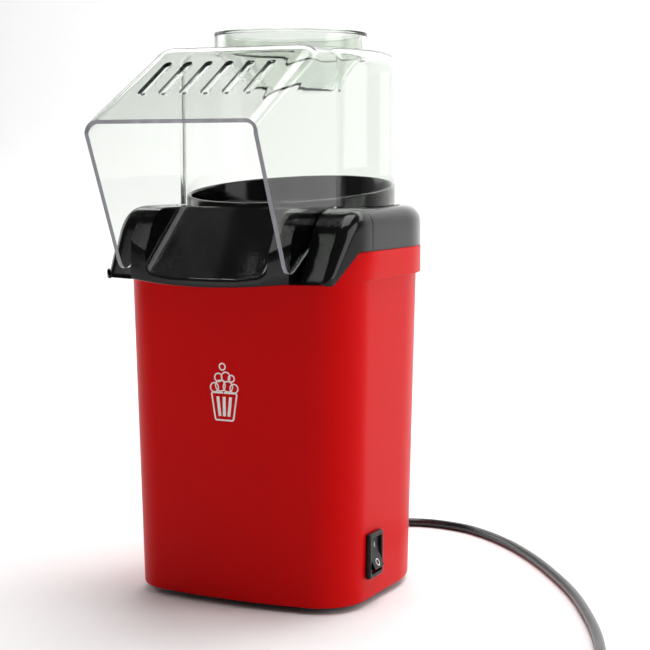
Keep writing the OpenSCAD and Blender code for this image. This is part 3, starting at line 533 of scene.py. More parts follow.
# %% Plug
plug_low, plug_high = node_box("plug_body")
plug_mid = (plug_low + plug_high) / 2


def plug_section(t):
    """Cross sections along the plug: a superellipse |y/w|^n + |z/h|^n = 1 whose half width w, half height h
    and power n grow from the round boot to the flat grip, with a waist for the fingers."""
    t = t[:, None]
    angle = np.linspace(0, 2 * np.pi, 64, endpoint=False)[None, :]
    grow = rise((t - 0.18) / 0.2)
    waist = 1 - 0.1 * np.exp(-((t - 0.62) / 0.13) ** 2)
    boot = (3.1 + 1.6 * t * (1 - grow)) * (1 - grow)
    width = boot + 13.95 * grow * waist
    height = boot + 7.45 * grow * waist
    power = 2 + 1.9 * grow
    end = np.where(t > 0.97, 1 - 0.07 * rise((t - 0.97) / 0.03), 1.0)
    ribs = 1 + 0.05 * np.sin(2 * np.pi * t * 36) * rise((0.2 - t) / 0.03) * rise((t - 0.02) / 0.03)
    c, s = np.cos(angle), np.sin(angle)
    y = np.sign(c) * np.abs(c) ** (2 / power) * width * end * ribs
    z = np.sign(s) * np.abs(s) ** (2 / power) * height * end * ribs
    x = plug_high[0] - t * (plug_high[0] - plug_low[0]) + 0 * angle
    return np.stack([x, y + plug_mid[1], z + plug_mid[2]], axis=-1)


plug = make_piece("mains_plug", "housing", M["cord_pvc"],
                  [surface(plug_section(np.linspace(0, 1, 150)), close_columns=True, caps=True)])
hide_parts("plug_body")

print("plug", np.round(plug_high - plug_low, 1), "mm")

# %% [markdown]
# ## The red body
#
# One moulding: a wall that is a half circle behind and has round corners and a slight bow in
# front, a band that stands out around its top, and two slanted ends where the band stops for the chute.  Its
# plan is one closed curve of arcs.  The wall is that curve carried upwards, from the smaller plan at
# the bottom to the larger one at the step.

# %% Plan of the body
front_bow = 2.4
corner_r = 22
front_reach = 62.3
front_lean = 2.2
base_half = 56.7
band_start, band_slant = 2.4, 6.2


def body_plan(half, reach, r, shift=0.0):
    """A closed plan, counter-clockwise from the middle of the front: bowed front, round corner, straight
    side, half circle behind.  shift moves every point outwards along the plan's own normal."""
    flat = half - r
    bow_r = (flat ** 2 + front_bow ** 2) / (2 * front_bow)
    lean = math.degrees(math.asin(flat / bow_r))
    bow_mid = (0, bow_r - front_bow - reach)
    front_right = arc(bow_mid, bow_r + shift, -90, -90 + lean, 24)[:-1]
    corner_right = arc((flat, r - reach), r + shift, -90 + lean, 0, 28)
    side_right = np.stack([np.full(13, half + shift), np.linspace(r - reach, 0, 14)[1:]], axis=-1)
    rear = arc((0, 0), half + shift, 0, 90, 40)[1:]
    right = np.vstack([front_right, corner_right, side_right, rear])
    left = right[-2:0:-1] * [-1, 1]
    return np.vstack([right, left])


def body_wall(t, shift=0.0):
    """The wall's plan at heights from the bottom (t = 0) to the step (t = 1): a straight blend of the two."""
    base = body_plan(base_half, front_reach - front_lean, corner_r, shift)
    top = body_plan(body_half, front_reach, corner_r, shift)
    t = np.asarray(t)[:, None, None]
    flat = base * (1 - t) + top * t
    height = body_z + t * (step_z - body_z) + 0 * flat[..., :1]
    return np.concatenate([flat, height], axis=-1)


# %% Wall and band
def body_rows():
    """The wall from the inside bottom edge, round it, up the outside to the step and down the inside."""
    edge = 0.9
    span = step_z - body_z
    outside = body_wall(edge / span + np.linspace(0, 1, 60) * (1 - edge / span))
    turn = np.radians(np.linspace(-90, 0, 6))[:-1]
    corner = np.concatenate([body_wall([0], -edge + edge * math.cos(a)) + [0, 0, edge + edge * math.sin(a)]
                             for a in turn])
    inside = body_wall([1.0, 0.5, 0.0], -wall)
    return np.concatenate([corner, outside, inside])


def band_grid():
    """A cross section with round outer edges, in (distance outwards, height), carried along the plan at the
    step.  Where the band ends, each height starts a little further along, so that the end slants."""
    section = rounded([(-wall, step_z), (band_out, step_z), (band_out, band_z), (-wall, band_z)],
                      [0, 0.7, 0.7, 0.4], 6)
    fine = np.linspace(0, 1, 361)
    rows = []
    for out, z in section:
        plan = body_plan(body_half, front_reach, corner_r, out)
        half = plan[:len(plan) // 2 + 1]
        end_y = -front_reach + band_start + (z - step_z) / band_h * band_slant
        front = half[:, 1] < end_y
        after = np.argmin(front)
        share = (end_y - half[after - 1, 1]) / (half[after, 1] - half[after - 1, 1])
        start = half[after - 1] + share * (half[after] - half[after - 1])
        right = np.vstack([start[None], half[after:]])
        line = np.vstack([right, right[-2::-1] * [-1, 1]])
        length = np.concatenate([[0], np.cumsum(np.linalg.norm(np.diff(line, axis=0), axis=1))])
        at = fine * length[-1]
        rows.append(np.stack([np.interp(at, length, line[:, 0]), np.interp(at, length, line[:, 1]),
                              np.full_like(at, z)], axis=-1))
    return np.swapaxes(np.array(rows), 0, 1)


red_body = make_piece("red_body", "housing", M["red_body"],
                      [surface(body_rows(), close_rows=True, close_columns=True),
                       surface(band_grid(), close_columns=True, caps=True)])
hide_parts("body_shell")
print("red body", len(red_body.data.polygons), "faces")

# %% [markdown]
# ## The printed mark
#
# A tub of popcorn in thin white lines, pad printed on the front.  Each line is a flat ribbon: a centreline
# with a constant width to both sides.  The ribbons are drawn flat and then laid on the bowed,
# leaning front face, a few hundredths of a millimetre proud, as ink is.

# %% Print on the front
def front_y(x, z):
    """Distance forward of the front face: it leans with height and bows across its width."""
    flat = body_half - corner_r
    lean = front_lean * (1 - (z - body_z) / (step_z - body_z))
    bow_r = (flat ** 2 + front_bow ** 2) / (2 * front_bow)
    return -(front_reach - lean) - (np.sqrt(bow_r ** 2 - x ** 2) - (bow_r - front_bow))


def ribbon(line, width, closed, lay, sunk, proud):
    """A flat printed line: its two sides lie half a width away along the centreline's normal, and lay puts
    each on its face at two heights, one sunk under the face and one proud of it."""
    ahead = np.roll(line, -1, 0) - np.roll(line, 1, 0) if closed else np.gradient(line, axis=0)
    normal = np.stack([-ahead[:, 1], ahead[:, 0]], axis=-1)
    normal /= np.linalg.norm(normal, axis=1, keepdims=True)
    left, right = line + normal * width / 2, line - normal * width / 2
    rows = [lay(left, -sunk), lay(left, proud), lay(right, proud), lay(right, -sunk)]
    return surface(np.stack(rows, axis=1), close_rows=closed, close_columns=True, caps=not closed)


def on_front(side, height):
    """Points given as (x, z), laid on the body's front face at a height above it."""
    return np.stack([side[:, 0], front_y(side[:, 0], side[:, 1]) - height, side[:, 1]], axis=-1)


def printed(line, width, closed):
    """A line of the mark, moved to the mark's middle and laid on the front."""
    return ribbon(line + mark_mid, width, closed, on_front, 0.05, 0.05)


mark_mid = np.array([-1.2, 93.5])
tub_top, tub_low, tub_h = 6.6, 4.6, 12.5
tub_z = -7.2
tub = np.array([(-tub_top, tub_z + tub_h), (-tub_low, tub_z), (tub_low, tub_z), (tub_top, tub_z + tub_h)])
lines = [printed(rounded(tub, 0.9, 5), 0.75, True)]
for share in (-0.5, 0, 0.5):
    stripe_top = (share * tub_top, tub_z + tub_h - 1.8)
    stripe_low = (share * tub_low, tub_z + 1.8)
    lines.append(printed(np.linspace(stripe_top, stripe_low, 8), 1.5, False))
puffs = [(-5.0, 7.6, 2.1), (-1.9, 8.5, 2.5), (2.0, 8.2, 2.4), (5.1, 7.5, 2.0),
         (-2.9, 12.2, 1.9), (0.9, 12.6, 2.2), (-0.8, 17.2, 1.5), (3.8, 12.0, 1.5)]
for x, z, r in puffs:
    lines.append(printed(arc((x, z), r, 0, 360, 33)[:-1], 0.6, True))
make_piece("printed_mark", "housing", M["print_white"], lines, merge=0.0005)
print("print", len(lines), "lines")

# %% [markdown]
# ## The upper housing
#
# A gloss black moulding in three parts that run into each other.  The deck is the body's plan with a large
# round edge.  The nose is a set of profiles side by side: the chute's slope in the middle, a tall ridge
# to each side of it, a narrow groove for the hood's side panel, and a round shoulder outside.  Every
# column of the nose's grid is one such profile, and where two meet, the height runs from one to the other
# over half a millimetre, which gives a crisp moulded edge.  The collar is a slanted ring around the
# chamber's opening.

# %% Profiles of the nose
nose_reach = -housing_low[1]
nose_bow_r = 130
flank_start, flank_taper = 49, 0.23
flank_from, flank_to = 53, 70
shoulder_x = 43.2
chute_half = 31
groove_in, groove_out = 39.9, 42.7
groove_start = 38
chute_run, groove_run = 0.7, 0.5
flank_back = 40.5
outer_fore, shoulder_r = 44, 22
inner_fore, ridge_r = 63, 14
chute_top, lip_fore, lip_z = 50.1, 84.4, step_z + 1.8
collar_r = 49.9
deck_hole_r = 49.5
deck_edge_r = 8
profile_count, turn_count, apron_count = 90, 6, 4


def shoulder_height(q, fore, r, depth=0.0):
    """Height against the distance forward: flat, then a circle of radius r - depth down to 60 degrees, then
    its tangent."""
    steepest = math.radians(60)
    radius = r - depth
    t = q - fore
    end = radius * math.sin(steepest)
    bend = deck_z - r + np.sqrt(radius ** 2 - np.clip(t, 0, end) ** 2)
    return bend - math.tan(steepest) * np.maximum(t - end, 0)


def nose_front(x):
    """Distance forward of the nose's bowed front: a circle seen from above."""
    return nose_reach - nose_bow_r + np.sqrt(nose_bow_r ** 2 - x ** 2)


def nose_height(x, q):
    """Height of the nose above the table at a distance x from the middle and q forward of the axis."""
    floor = step_z + 0.6
    hollow = 5.0
    side = np.clip(x - (chute_half - hollow), 0, hollow)
    ridge = shoulder_height(q, inner_fore, ridge_r)
    slope = (deck_z - lip_z) / (lip_fore - chute_top)
    chute = np.maximum(deck_z - slope * np.maximum(q - chute_top, 0), lip_z)
    chute = np.minimum(chute + hollow - np.sqrt(hollow ** 2 - side ** 2), np.maximum(ridge, chute))
    groove = shoulder_height(q, outer_fore, shoulder_r, 6)
    groove = deck_z + (groove - deck_z) * rise((q - groove_start) / 0.8)
    outer = shoulder_height(q, outer_fore, shoulder_r)
    z = chute + (np.maximum(ridge, chute) - chute) * rise((x - chute_half) / chute_run + 0.5)
    z = z + (groove - z) * rise((x - groove_in) / groove_run + 0.5)
    z = z + (outer - z) * rise((x - groove_out) / groove_run + 0.5)
    return np.maximum(z, floor)


def flank_x(q):
    """Half width of the nose: the housing's side, then a taper, joined by a hyperbola."""
    ahead = q - flank_start
    return body_half + band_out - flank_taper * (np.sqrt(ahead ** 2 + 16) + ahead) / 2


def flank_round(q):
    """Radius of the flank's round edge: the deck's own behind, and tighter towards the front."""
    return deck_edge_r - 5 * np.clip((q - 46) / 28, 0, 1)


def flank_floor(q):
    """Lower edge of the flank: level with the band's top behind, then slanting down to the underside."""
    return step_z + 0.15 + (band_z - step_z) * np.clip((flank_to - q) / (flank_to - flank_from), 0, 1)


def wall_steps(at, run):
    """Seven places across a moulded wall that runs from one height to the other."""
    return np.linspace(at - run / 2, at + run / 2, 7)


def tucked(q):
    """1 where the flank starts behind and 0 from 2.5 mm further forward.  The flank is tucked under the deck
    by this share of 0.06 mm, so that the two skins never lie in one plane."""
    return 1 - rise((q - flank_back) / 2.5)


# %% The nose as one grid
def nose_columns():
    """Distances from the middle, close together at each moulded wall, and for the shoulder's columns the
    share of the way from the groove to the flank's round edge."""
    inner = np.concatenate([np.linspace(0, 25, 16), np.linspace(25.6, 30.5, 9),
                            wall_steps(chute_half, chute_run),
                            np.linspace(31.8, 39.2, 7), wall_steps(groove_in, groove_run),
                            np.linspace(40.6, 42.1, 4), wall_steps(groove_out, groove_run)])
    share = np.linspace(0, 1, 10)
    return (np.concatenate([inner, np.full(10, shoulder_x)])[:, None],
            np.concatenate([0 * inner, share])[:, None])


def nose_rows():
    """Right half of the nose, column by column: top, round front edge, apron, round bottom edge and
    underside."""
    x, share = nose_columns()
    typical = x + share * (51 - x)
    edge = 0.6
    front = nose_front(typical)
    on_deck_hole = np.sqrt(np.maximum(deck_hole_r ** 2 - typical ** 2, groove_start ** 2))
    start = np.where(share > 0, flank_back, on_deck_hole)
    q = start + (front - edge - start) * np.linspace(0, 1, profile_count) ** 0.9
    x = x + share * (flank_x(q) - flank_round(q) - x)
    z = nose_height(x, q) - 0.06 * (share > 0) * tucked(q)
    top_z = z[:, -1:]
    turn = np.radians(np.linspace(0, 90, turn_count + 1))[None, 1:]
    down = np.linspace(0, 1, apron_count)[None]
    dip_half, dip = 39, 2
    dip_r = (dip_half ** 2 + dip ** 2) / (2 * dip)
    bottom = step_z - np.maximum(np.sqrt(dip_r ** 2 - typical ** 2) - dip_r + dip, 0)
    low = np.minimum(bottom + edge, top_z - edge)
    q = np.hstack([q, front - edge + edge * np.sin(turn), front + 0 * down,
                   front - edge + edge * np.cos(turn)])
    z = np.hstack([z, top_z - edge + edge * np.cos(turn), top_z - edge + (low - top_z + edge) * down,
                   low - edge * np.sin(turn) * np.clip((low - bottom) / edge, 0, 1)])
    level = np.full_like(front, step_z + 0.15)
    q = np.hstack([q, front - 2.2, front - 2.6, 57 + 0 * front])
    z = np.hstack([z, z[:, -1:], level, level])
    x = np.hstack([x, np.repeat(x[:, -1:], q.shape[1] - x.shape[1], axis=1)])
    return x, q, z


def nose_flank(x, q, z):
    """The last profile carried round the flank's edge.  At an angle a of the turn the column stands r sin a
    further out, and its profile is drawn in by r (1 - cos a) along the profile's own normal.  Below it a
    ruled face goes straight down to the flank's lower edge."""
    a = np.radians(np.linspace(0, 90, 15))[1:, None]
    ahead = np.stack([np.gradient(q), np.gradient(z)])
    ahead /= np.maximum(np.linalg.norm(ahead, axis=0), 1e-6)
    r = flank_round(q)
    shrink = r * (1 - np.cos(a))
    flank_q = np.minimum(q + shrink * ahead[1], 75 - 1.15 * shrink)
    flank_z = np.maximum(z - shrink * ahead[0], flank_floor(flank_q))
    side = x + r * np.sin(a) + (flank_x(flank_q) - flank_x(q)) * np.sin(a) ** 2
    side = side - 0.06 * np.sin(a) * tucked(q)
    share = np.linspace(0, 1, 13)[1:, None]
    face_z = flank_z[-1] + share * (flank_floor(flank_q[-1]) - flank_z[-1])
    return (np.vstack([side, np.repeat(side[-1:], 12, axis=0)]),
            np.vstack([flank_q, np.repeat(flank_q[-1:], 12, axis=0)]), np.vstack([flank_z, face_z]))


x, q, z = nose_rows()
top_rows = profile_count + turn_count + apron_count + turn_count
flank = nose_flank(x[-1, :top_rows], q[-1, :top_rows], z[-1, :top_rows])
under = [np.hstack([side, np.repeat(side[:, -1:], 3, axis=1)]) for side in flank]
half_nose = np.stack([np.vstack([x, under[0]]), -np.vstack([q, under[1]]), np.vstack([z, under[2]])],
                     axis=-1)
nose_grid = np.concatenate([half_nose[:0:-1] * [-1, 1, 1], half_nose])
skin_t = 0.8
nose = make_piece("chute_nose", "housing", M["black_housing"],
                  [surface(nose_grid, flip=True)], closed=False, merge=0.002)
thicken(nose, skin_t)
print("nose", nose_grid.shape, "points")

# %% The deck with its round edge
def deck_grid():
    """From the foot of the housing's wall up, round the edge, and in to the collar.  The edge's offset and
    height are R (1 - cos a) and R sin a.  In front it dives under the nose, which carries its surface on."""
    outline = body_plan(body_half, front_reach, corner_r, band_out)
    keep = np.flatnonzero((np.abs(outline[:, 0]) > 45) | (outline[:, 1] > -40))
    turn = np.radians(np.linspace(0, 90, 12))
    shifts = band_out - deck_edge_r * (1 - np.cos(turn))
    plans = [outline] * 4 + [body_plan(body_half, front_reach, corner_r, shift) for shift in shifts]
    inner = plans[-1]
    ring = inner / np.linalg.norm(inner, axis=1, keepdims=True) * deck_hole_r
    plans += [inner + share * (ring - inner) for share in np.linspace(0, 1, 12)[1:]]
    plan = np.array(plans)[:, keep]
    past_slant = plan[0, :, 1] + front_reach - band_start - band_slant
    foot = np.clip(band_z + 0.12 + past_slant / band_slant * band_h, step_z + 0.1, band_z + 0.12)
    wall_top = deck_z - deck_edge_r
    levels = [foot + share * (wall_top - foot) for share in np.linspace(0, 1, 5)[:4]]
    levels += [np.full_like(foot, wall_top + deck_edge_r * math.sin(a)) for a in turn]
    levels += [np.full_like(foot, deck_z)] * 11
    z = np.array(levels)
    q = -plan[..., 1]
    under_nose = rise((q - 42.5) / 2)
    plan = plan * (1 - 0.02 * under_nose[..., None])
    z = np.maximum(z - 14 * under_nose, foot)
    return np.concatenate([plan, z[..., None]], axis=-1)


deck = make_piece("housing_deck", "housing", M["black_housing"],
                  [surface(deck_grid(), flip=True)], closed=False)
thicken(deck, skin_t)

# %% Collar around the chamber's opening
def collar_surface():
    """An L-shaped section, ledge and collar, spun round the axis.  The height of the collar's rim grows in
    proportion to y, from the front to the rear, so that its top lies in a slanting plane."""
    rear_z = housing_high[2]
    ledge_low = deck_z - 1.9
    rim_r = 1.1
    angle = np.linspace(0, 2 * np.pi, 160, endpoint=False)[:, None]
    ledge = rounded([(40.8, ledge_low), (40.8, deck_z), (collar_r - 2 * rim_r, deck_z)], [0, 0.6, 0], 6)[:-1]
    foot = arc((collar_r - 2 * rim_r - 1, deck_z + 1), 1.0, -90, 0, 6)
    turn = np.radians(np.arange(0, 181, 20))
    rim = np.stack([collar_r - rim_r - rim_r * np.cos(turn), 1 + np.sin(turn)], axis=-1)
    outside = np.array([(collar_r, ledge_low)])
    r = np.concatenate([ledge[:, 0], foot[:, 0], rim[:, 0], outside[:, 0]])[None]
    low = np.concatenate([ledge[:, 1], foot[:, 1], np.zeros(len(rim)), outside[:, 1]])[None]
    on_rim = np.concatenate([np.zeros(len(ledge) + len(foot)), np.ones(len(rim)), [0]])[None]
    bump_up = np.concatenate([np.zeros(len(ledge) + len(foot)), rim_r * (rim[:, 1] - 1), [0]])[None]
    y = r * np.sin(angle)
    plane = collar_front_z + (y + collar_r) / (2 * collar_r) * (rear_z - collar_front_z) - rim_r
    z = low * (1 - on_rim) + (plane + bump_up) * on_rim
    return surface(np.stack([r * np.cos(angle), y, z], axis=-1), close_rows=True, close_columns=True)


collar_front_z = deck_z + 2
make_piece("chamber_collar", "housing", M["black_housing"], [collar_surface()])
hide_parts("upper_housing")
print("collar from", round(collar_front_z, 1), "to", round(float(housing_high[2]), 1), "mm high")

# %% [markdown]
# ## The clear hood
#
# Blow-clean polycarbonate, 2 mm thick: a cylinder that stands round the collar, and a box that leans out over
# the chute with a sloping roof and an open mouth.  The outer skin is one grid.  Its first parameter
# runs along the plan, from one edge of the mouth back round the cylinder to the other, and its second
# one runs up the wall, round the top edge and in to the chimney or the middle of the roof.  A Solidify
# modifier then gives it a wall, and six round-ended cutters open the steam slots.

# %% Plan and levels of the hood
hood_r, hood_t = 52.3, 2.0
box_half = 42.3
chimney_h = 7.4
hood_top = hood_high[2] - chimney_h
mouth_y, mouth_z = hood_low[1], 220.5
leg_y, leg_z = -83.4, hood_low[2]
roof_y = -55.1
seat_y, seat_z = -37.4, deck_z + 0.4
flat_until = -20
ring_from = -46


def soft_max(a, b, k):
    """The larger of two values, with the corner between them rounded over a width k."""
    h = np.clip(0.5 + 0.5 * (a - b) / k, 0, 1)
    return b + h * (a - b) + k * h * (1 - h)


def roof_height(y):
    """Flat top behind, sloping roof in front, and a soft crease between."""
    slope = (hood_top - mouth_z) / (roof_y - mouth_y)
    return -soft_max(np.full_like(y, -hood_top), -(hood_top + slope * (y - roof_y)), 2.0)


def side_x(y):
    """Half width of the hood: the box's flat side in front and the cylinder behind, softly joined."""
    return soft_max(np.full_like(y, box_half), np.sqrt(np.maximum(hood_r ** 2 - y ** 2, 0)), 3.0)


def lower_edge():
    """The side panel's lower edge in (y, z): the round end of the leg, then the curve in the groove."""
    corner = np.array([leg_y - 1.2, leg_z - 1.2])
    up = np.array([mouth_y, mouth_z]) - corner
    up = corner + up / np.linalg.norm(up) * 8
    groove = np.array([-58.2, 168.2])
    back = corner + (groove - corner) / np.linalg.norm(groove - corner) * 8
    t = np.linspace(0, 1, 14)[:, None]
    hook = (1 - t) ** 2 * up + 2 * t * (1 - t) * corner + t ** 2 * back
    bend = arc((-outer_fore, deck_z - shoulder_r), shoulder_r - 5.6, 150, 110, 12)
    return np.vstack([hook, bend, [[seat_y, seat_z]]])


# %% The hood's skin
def hood_half():
    """Right half of the outer skin, from the mouth's edge to the middle of the rear."""
    panel_y = np.concatenate([np.linspace(mouth_y, seat_y, 70), np.linspace(seat_y + 1, flat_until, 24)])
    angle = np.linspace(math.asin(flat_until / hood_r), math.pi / 2, 60)[1:]
    top_y = np.concatenate([panel_y, hood_r * np.sin(angle)])
    top_x = np.concatenate([side_x(panel_y), hood_r * np.cos(angle)])
    edge = lower_edge()
    length = np.concatenate([[0], np.cumsum(np.linalg.norm(np.diff(edge, axis=0), axis=1))])
    share = np.clip((top_y - mouth_y) / (seat_y - mouth_y), 0, 1) ** 1.15 * length[-1]
    low_y = np.where(top_y <= seat_y, np.interp(share, length, edge[:, 0]), top_y)
    low_z = np.where(top_y <= seat_y, np.interp(share, length, edge[:, 1]), seat_z)
    edge_r = 6 + 3.6 * rise((top_y - mouth_y) / (roof_y - mouth_y))

    up = np.linspace(0, 1, 26)[None]
    y = low_y[:, None] + (top_y - low_y)[:, None] * up
    z = low_z[:, None] + (roof_height(top_y) - edge_r - low_z)[:, None] * up
    x = np.where(top_y[:, None] < flat_until, side_x(y), top_x[:, None] + 0 * up)

    along = np.stack([np.gradient(top_x), np.gradient(top_y)])
    along /= np.linalg.norm(along, axis=0)
    inward = np.stack([-along[1], along[0]])
    inward[1] *= rise((top_y + 60) / 10)
    a = np.radians(np.linspace(0, 90, 11))[None, 1:]
    round_x = top_x[:, None] + inward[0][:, None] * edge_r[:, None] * (1 - np.cos(a))
    round_y = top_y[:, None] + inward[1][:, None] * edge_r[:, None] * (1 - np.cos(a))
    round_z = roof_height(round_y) - edge_r[:, None] * (1 - np.sin(a))

    walk = np.arange(len(top_y))
    line_end = np.searchsorted(top_y, ring_from)
    centre_y = np.interp(top_y, [mouth_y, -56, ring_from], [mouth_y, -56, -chimney_foot])
    around = np.radians(-90 + 180 * np.clip((walk - line_end) / (len(top_y) - 1 - line_end), 0, 1))
    on_ring = walk >= line_end
    end_x = np.where(on_ring, chimney_foot * np.cos(around), 0)
    end_y = np.where(on_ring, chimney_foot * np.sin(around), centre_y)
    t = np.linspace(0, 1, 16)[None, 1:]
    flat_x = round_x[:, -1:] + (end_x[:, None] - round_x[:, -1:]) * t
    flat_y = round_y[:, -1:] + (end_y[:, None] - round_y[:, -1:]) * t
    skin = np.stack([np.hstack([x, round_x, flat_x]), np.hstack([y, round_y, flat_y]),
                     np.hstack([z, round_z, roof_height(flat_y)])], axis=-1)
    return skin, np.stack([end_x, end_y], axis=-1)[on_ring]


chimney_r = 36.4
chimney_fillet = 1.6
chimney_foot = chimney_r + chimney_fillet
right_skin, ring = hood_half()
hood_skin = np.concatenate([right_skin[:-1], right_skin[::-1] * [-1, 1, 1]])
ring = np.vstack([ring[:-1], (ring[::-1] * [-1, 1])[:-1]])


def chimney_skin(ring):
    """The same circle of points carried up through a small fillet and along the chimney's wall."""
    turn = np.radians(np.linspace(0, 90, 6))
    r = np.concatenate([chimney_foot - chimney_fillet * np.sin(turn), np.full(4, chimney_r)])
    z = hood_top + np.concatenate([chimney_fillet * (1 - np.cos(turn)),
                                   np.linspace(chimney_fillet, chimney_h, 5)[1:]])
    points = ring[None] / chimney_foot * r[:, None, None]
    return np.concatenate([points, np.broadcast_to(z[:, None, None], points.shape[:2] + (1,))], axis=-1)


hood = make_piece("clear_hood_shell", "hood", M["clear_polycarbonate"],
                  [surface(hood_skin), surface(chimney_skin(ring), close_columns=True)],
                  closed=False, merge=0.01)

# %% Wall and steam slots
def point_outwards(piece, inside):
    """Turns an open skin so that its faces look away from a point inside it."""
    work = bmesh.new()
    work.from_mesh(piece.data)
    bmesh.ops.recalc_face_normals(work, faces=work.faces)
    work.faces.ensure_lookup_table()
    centre = Vector((np.array(inside) + axis_shift) / 1000)
    outward = sum(face.normal.dot(face.calc_center_median() - centre) * face.calc_area()
                  for face in work.faces)
    if outward < 0:
        bmesh.ops.reverse_faces(work, faces=work.faces)
    work.to_mesh(piece.data)
    work.free()


point_outwards(hood, (0, -30, 215))
# The wall's cut edge takes the pale grey painted highlight.
thicken(hood, hood_t, M["polycarbonate_edge"])

slot_w, slot_len, slot_pitch, slot_count = 4.0, 29.0, 10.5, 6
slot_y = -79.6
slope = math.atan2(hood_top - mouth_z, roof_y - mouth_y)


def slot_cutters():
    """Round-ended prisms that stand square to the roof: a stadium outline carried through the wall."""
    half = (slot_len - slot_w) / 2
    outline = np.vstack([arc((0, half), slot_w / 2, 0, 180, 13), arc((0, -half), slot_w / 2, 180, 360, 13)])
    shapes = []
    for number in range(slot_count):
        x = (number - (slot_count - 1) / 2) * slot_pitch
        mid = np.array([x, slot_y, roof_height(np.array([slot_y]))[0]])
        rows = [mid + np.stack([outline[:, 0], outline[:, 1] * math.cos(slope) - lift * math.sin(slope),
                                outline[:, 1] * math.sin(slope) + lift * math.cos(slope)], axis=-1)
                for lift in (-6, 6)]
        shapes.append(surface(np.array(rows), close_columns=True, caps=True))
    return shapes


cutter = make_piece("slot_cutter", "hood", M["clear_polycarbonate"], slot_cutters())
cut = hood.modifiers.new("slots", "BOOLEAN")
cut.operation = "DIFFERENCE"
cut.solver = "EXACT"
cut.object = cutter
apply_modifiers(hood)
bpy.data.objects.remove(cutter)
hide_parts("clear_hood")
print("hood", len(hood.data.polygons), "faces")

# %% Measuring cup
def cup_outline():
    """The cup's wall in (radius, height): floor, cone, upright rim with a flange that rests on the chimney,
    then back down the inside 1.6 mm away, with every corner rounded."""
    t = 1.6
    r, floor_r = 34, 19
    rim, floor = cup_high[2] - t, cup_low[2]
    cone_top = hood_top - 2
    outer = [(0, floor), (floor_r, floor), (r, cone_top), (r, rim), (chimney_r, rim), (chimney_r, rim + t)]
    inner = [(r - t, rim + t), (r - t, cone_top + t / 2), (floor_r - t / 2, floor + t), (0, floor + t)]
    return rounded(outer + inner, [0, 1.8, 3, 0.4, 0.5, 0.5, 1.2, 3, 1.5, 0], 5)


cup = make_piece("measuring_cup_clear", "cup", M["clear_polycarbonate"],
                 [spun(cup_outline(), 120)])
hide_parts("measuring_cup")
print("cup", round(float(cup_high[2] - cup_low[2]), 1), "mm deep")

# %% [markdown]
# ## The rocker switch
#
# A panel switch in nylon: a case behind the wall, a bezel in front with soft edges, and a rocker
# that tips about a pin.  The case and bezel are one stack of rounded rectangles.  The rocker is its own
# side view carried across its width, drawn in a little at both sides to round the edges.  The marks are
# the standard ones for on and off.

# %% Case and bezel
switch_low, switch_high = node_box("switch_case")
rocker_joint = next(joint for joint in frame["joints"] if joint["name"] == "rocker_tilt")
pivot = np.array(rocker_joint["pos_m"]) * 1000 - axis_shift
bezel_front = switch_high[0]
bezel_w = switch_high[1] - switch_low[1]
bezel_h = switch_high[2] - switch_low[2]
case_w, case_h = bezel_w - 2, bezel_h - 2
well_w, well_h = case_w - 2.4, case_h - 2.4


def rounded_rectangle(w, h, r):
    """A rectangle about its own middle with round corners."""
    return rounded([(-w / 2, -h / 2), (w / 2, -h / 2), (w / 2, h / 2), (-w / 2, h / 2)], r, 6)


def switch_stack():
    """Rounded rectangles (width, height, corner, depth): up the case's outside, over the bezel and down the
    well."""
    out = bezel_front
    back = switch_low[0]
    face = out - 2.0
    stack = [(0.02, 0.02, 0.005, back), (case_w, case_h, 0.8, back), (case_w, case_h, 0.8, face),
             (bezel_w, bezel_h, 1.6, face), (bezel_w, bezel_h, 1.6, out - 0.9)]
    for a in np.radians([15, 30, 45, 60, 75, 90]):
        drawn_in = 1.8 * (1 - math.cos(a))
        stack.append((bezel_w - drawn_in, bezel_h - drawn_in, 1.6, out - 0.9 + 0.9 * math.sin(a)))
    for a in np.radians([0, 30, 60, 90]):
        flare = 0.8 * (1 - math.sin(a))
        stack.append((well_w + flare, well_h + flare, 0.7, out - 0.4 + 0.4 * math.cos(a)))
    stack += [(well_w, well_h, 0.7, out - 9), (0.02, 0.02, 0.005, out - 9)]
    mid = (switch_low + switch_high) / 2
    rows = []
    for w, h, r, depth in stack:
        flat = rounded_rectangle(w, h, r)
        rows.append(np.stack([np.full(len(flat), depth), flat[:, 0] + mid[1], flat[:, 1] + mid[2]], axis=-1))
    return surface(np.array(rows), close_columns=True, caps=True)


switch = make_piece("switch_bezel", "housing", M["switch_black"], [switch_stack()])
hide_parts("switch_case")

# %% Rocker and its marks
rocker_rest = math.radians(-12)
rocker_half = 7.2
rocker_w = well_w - 0.8
rocker_edge = 0.6
pin_r = 1.15
face_line = np.array([(-rocker_half, 4.3), (-3.7, 3.35), (0, 3.0), (3.7, 3.35), (rocker_half, 4.3)])


def on_rocker(across, along, out):
    """From the rocker's own axes (across, along, outwards) to the frame, turned to its rest position."""
    up = along * math.cos(rocker_rest) - out * math.sin(rocker_rest)
    forth = along * math.sin(rocker_rest) + out * math.cos(rocker_rest)
    return np.stack([pivot[0] + forth, pivot[1] + across, pivot[2] + up], axis=-1)


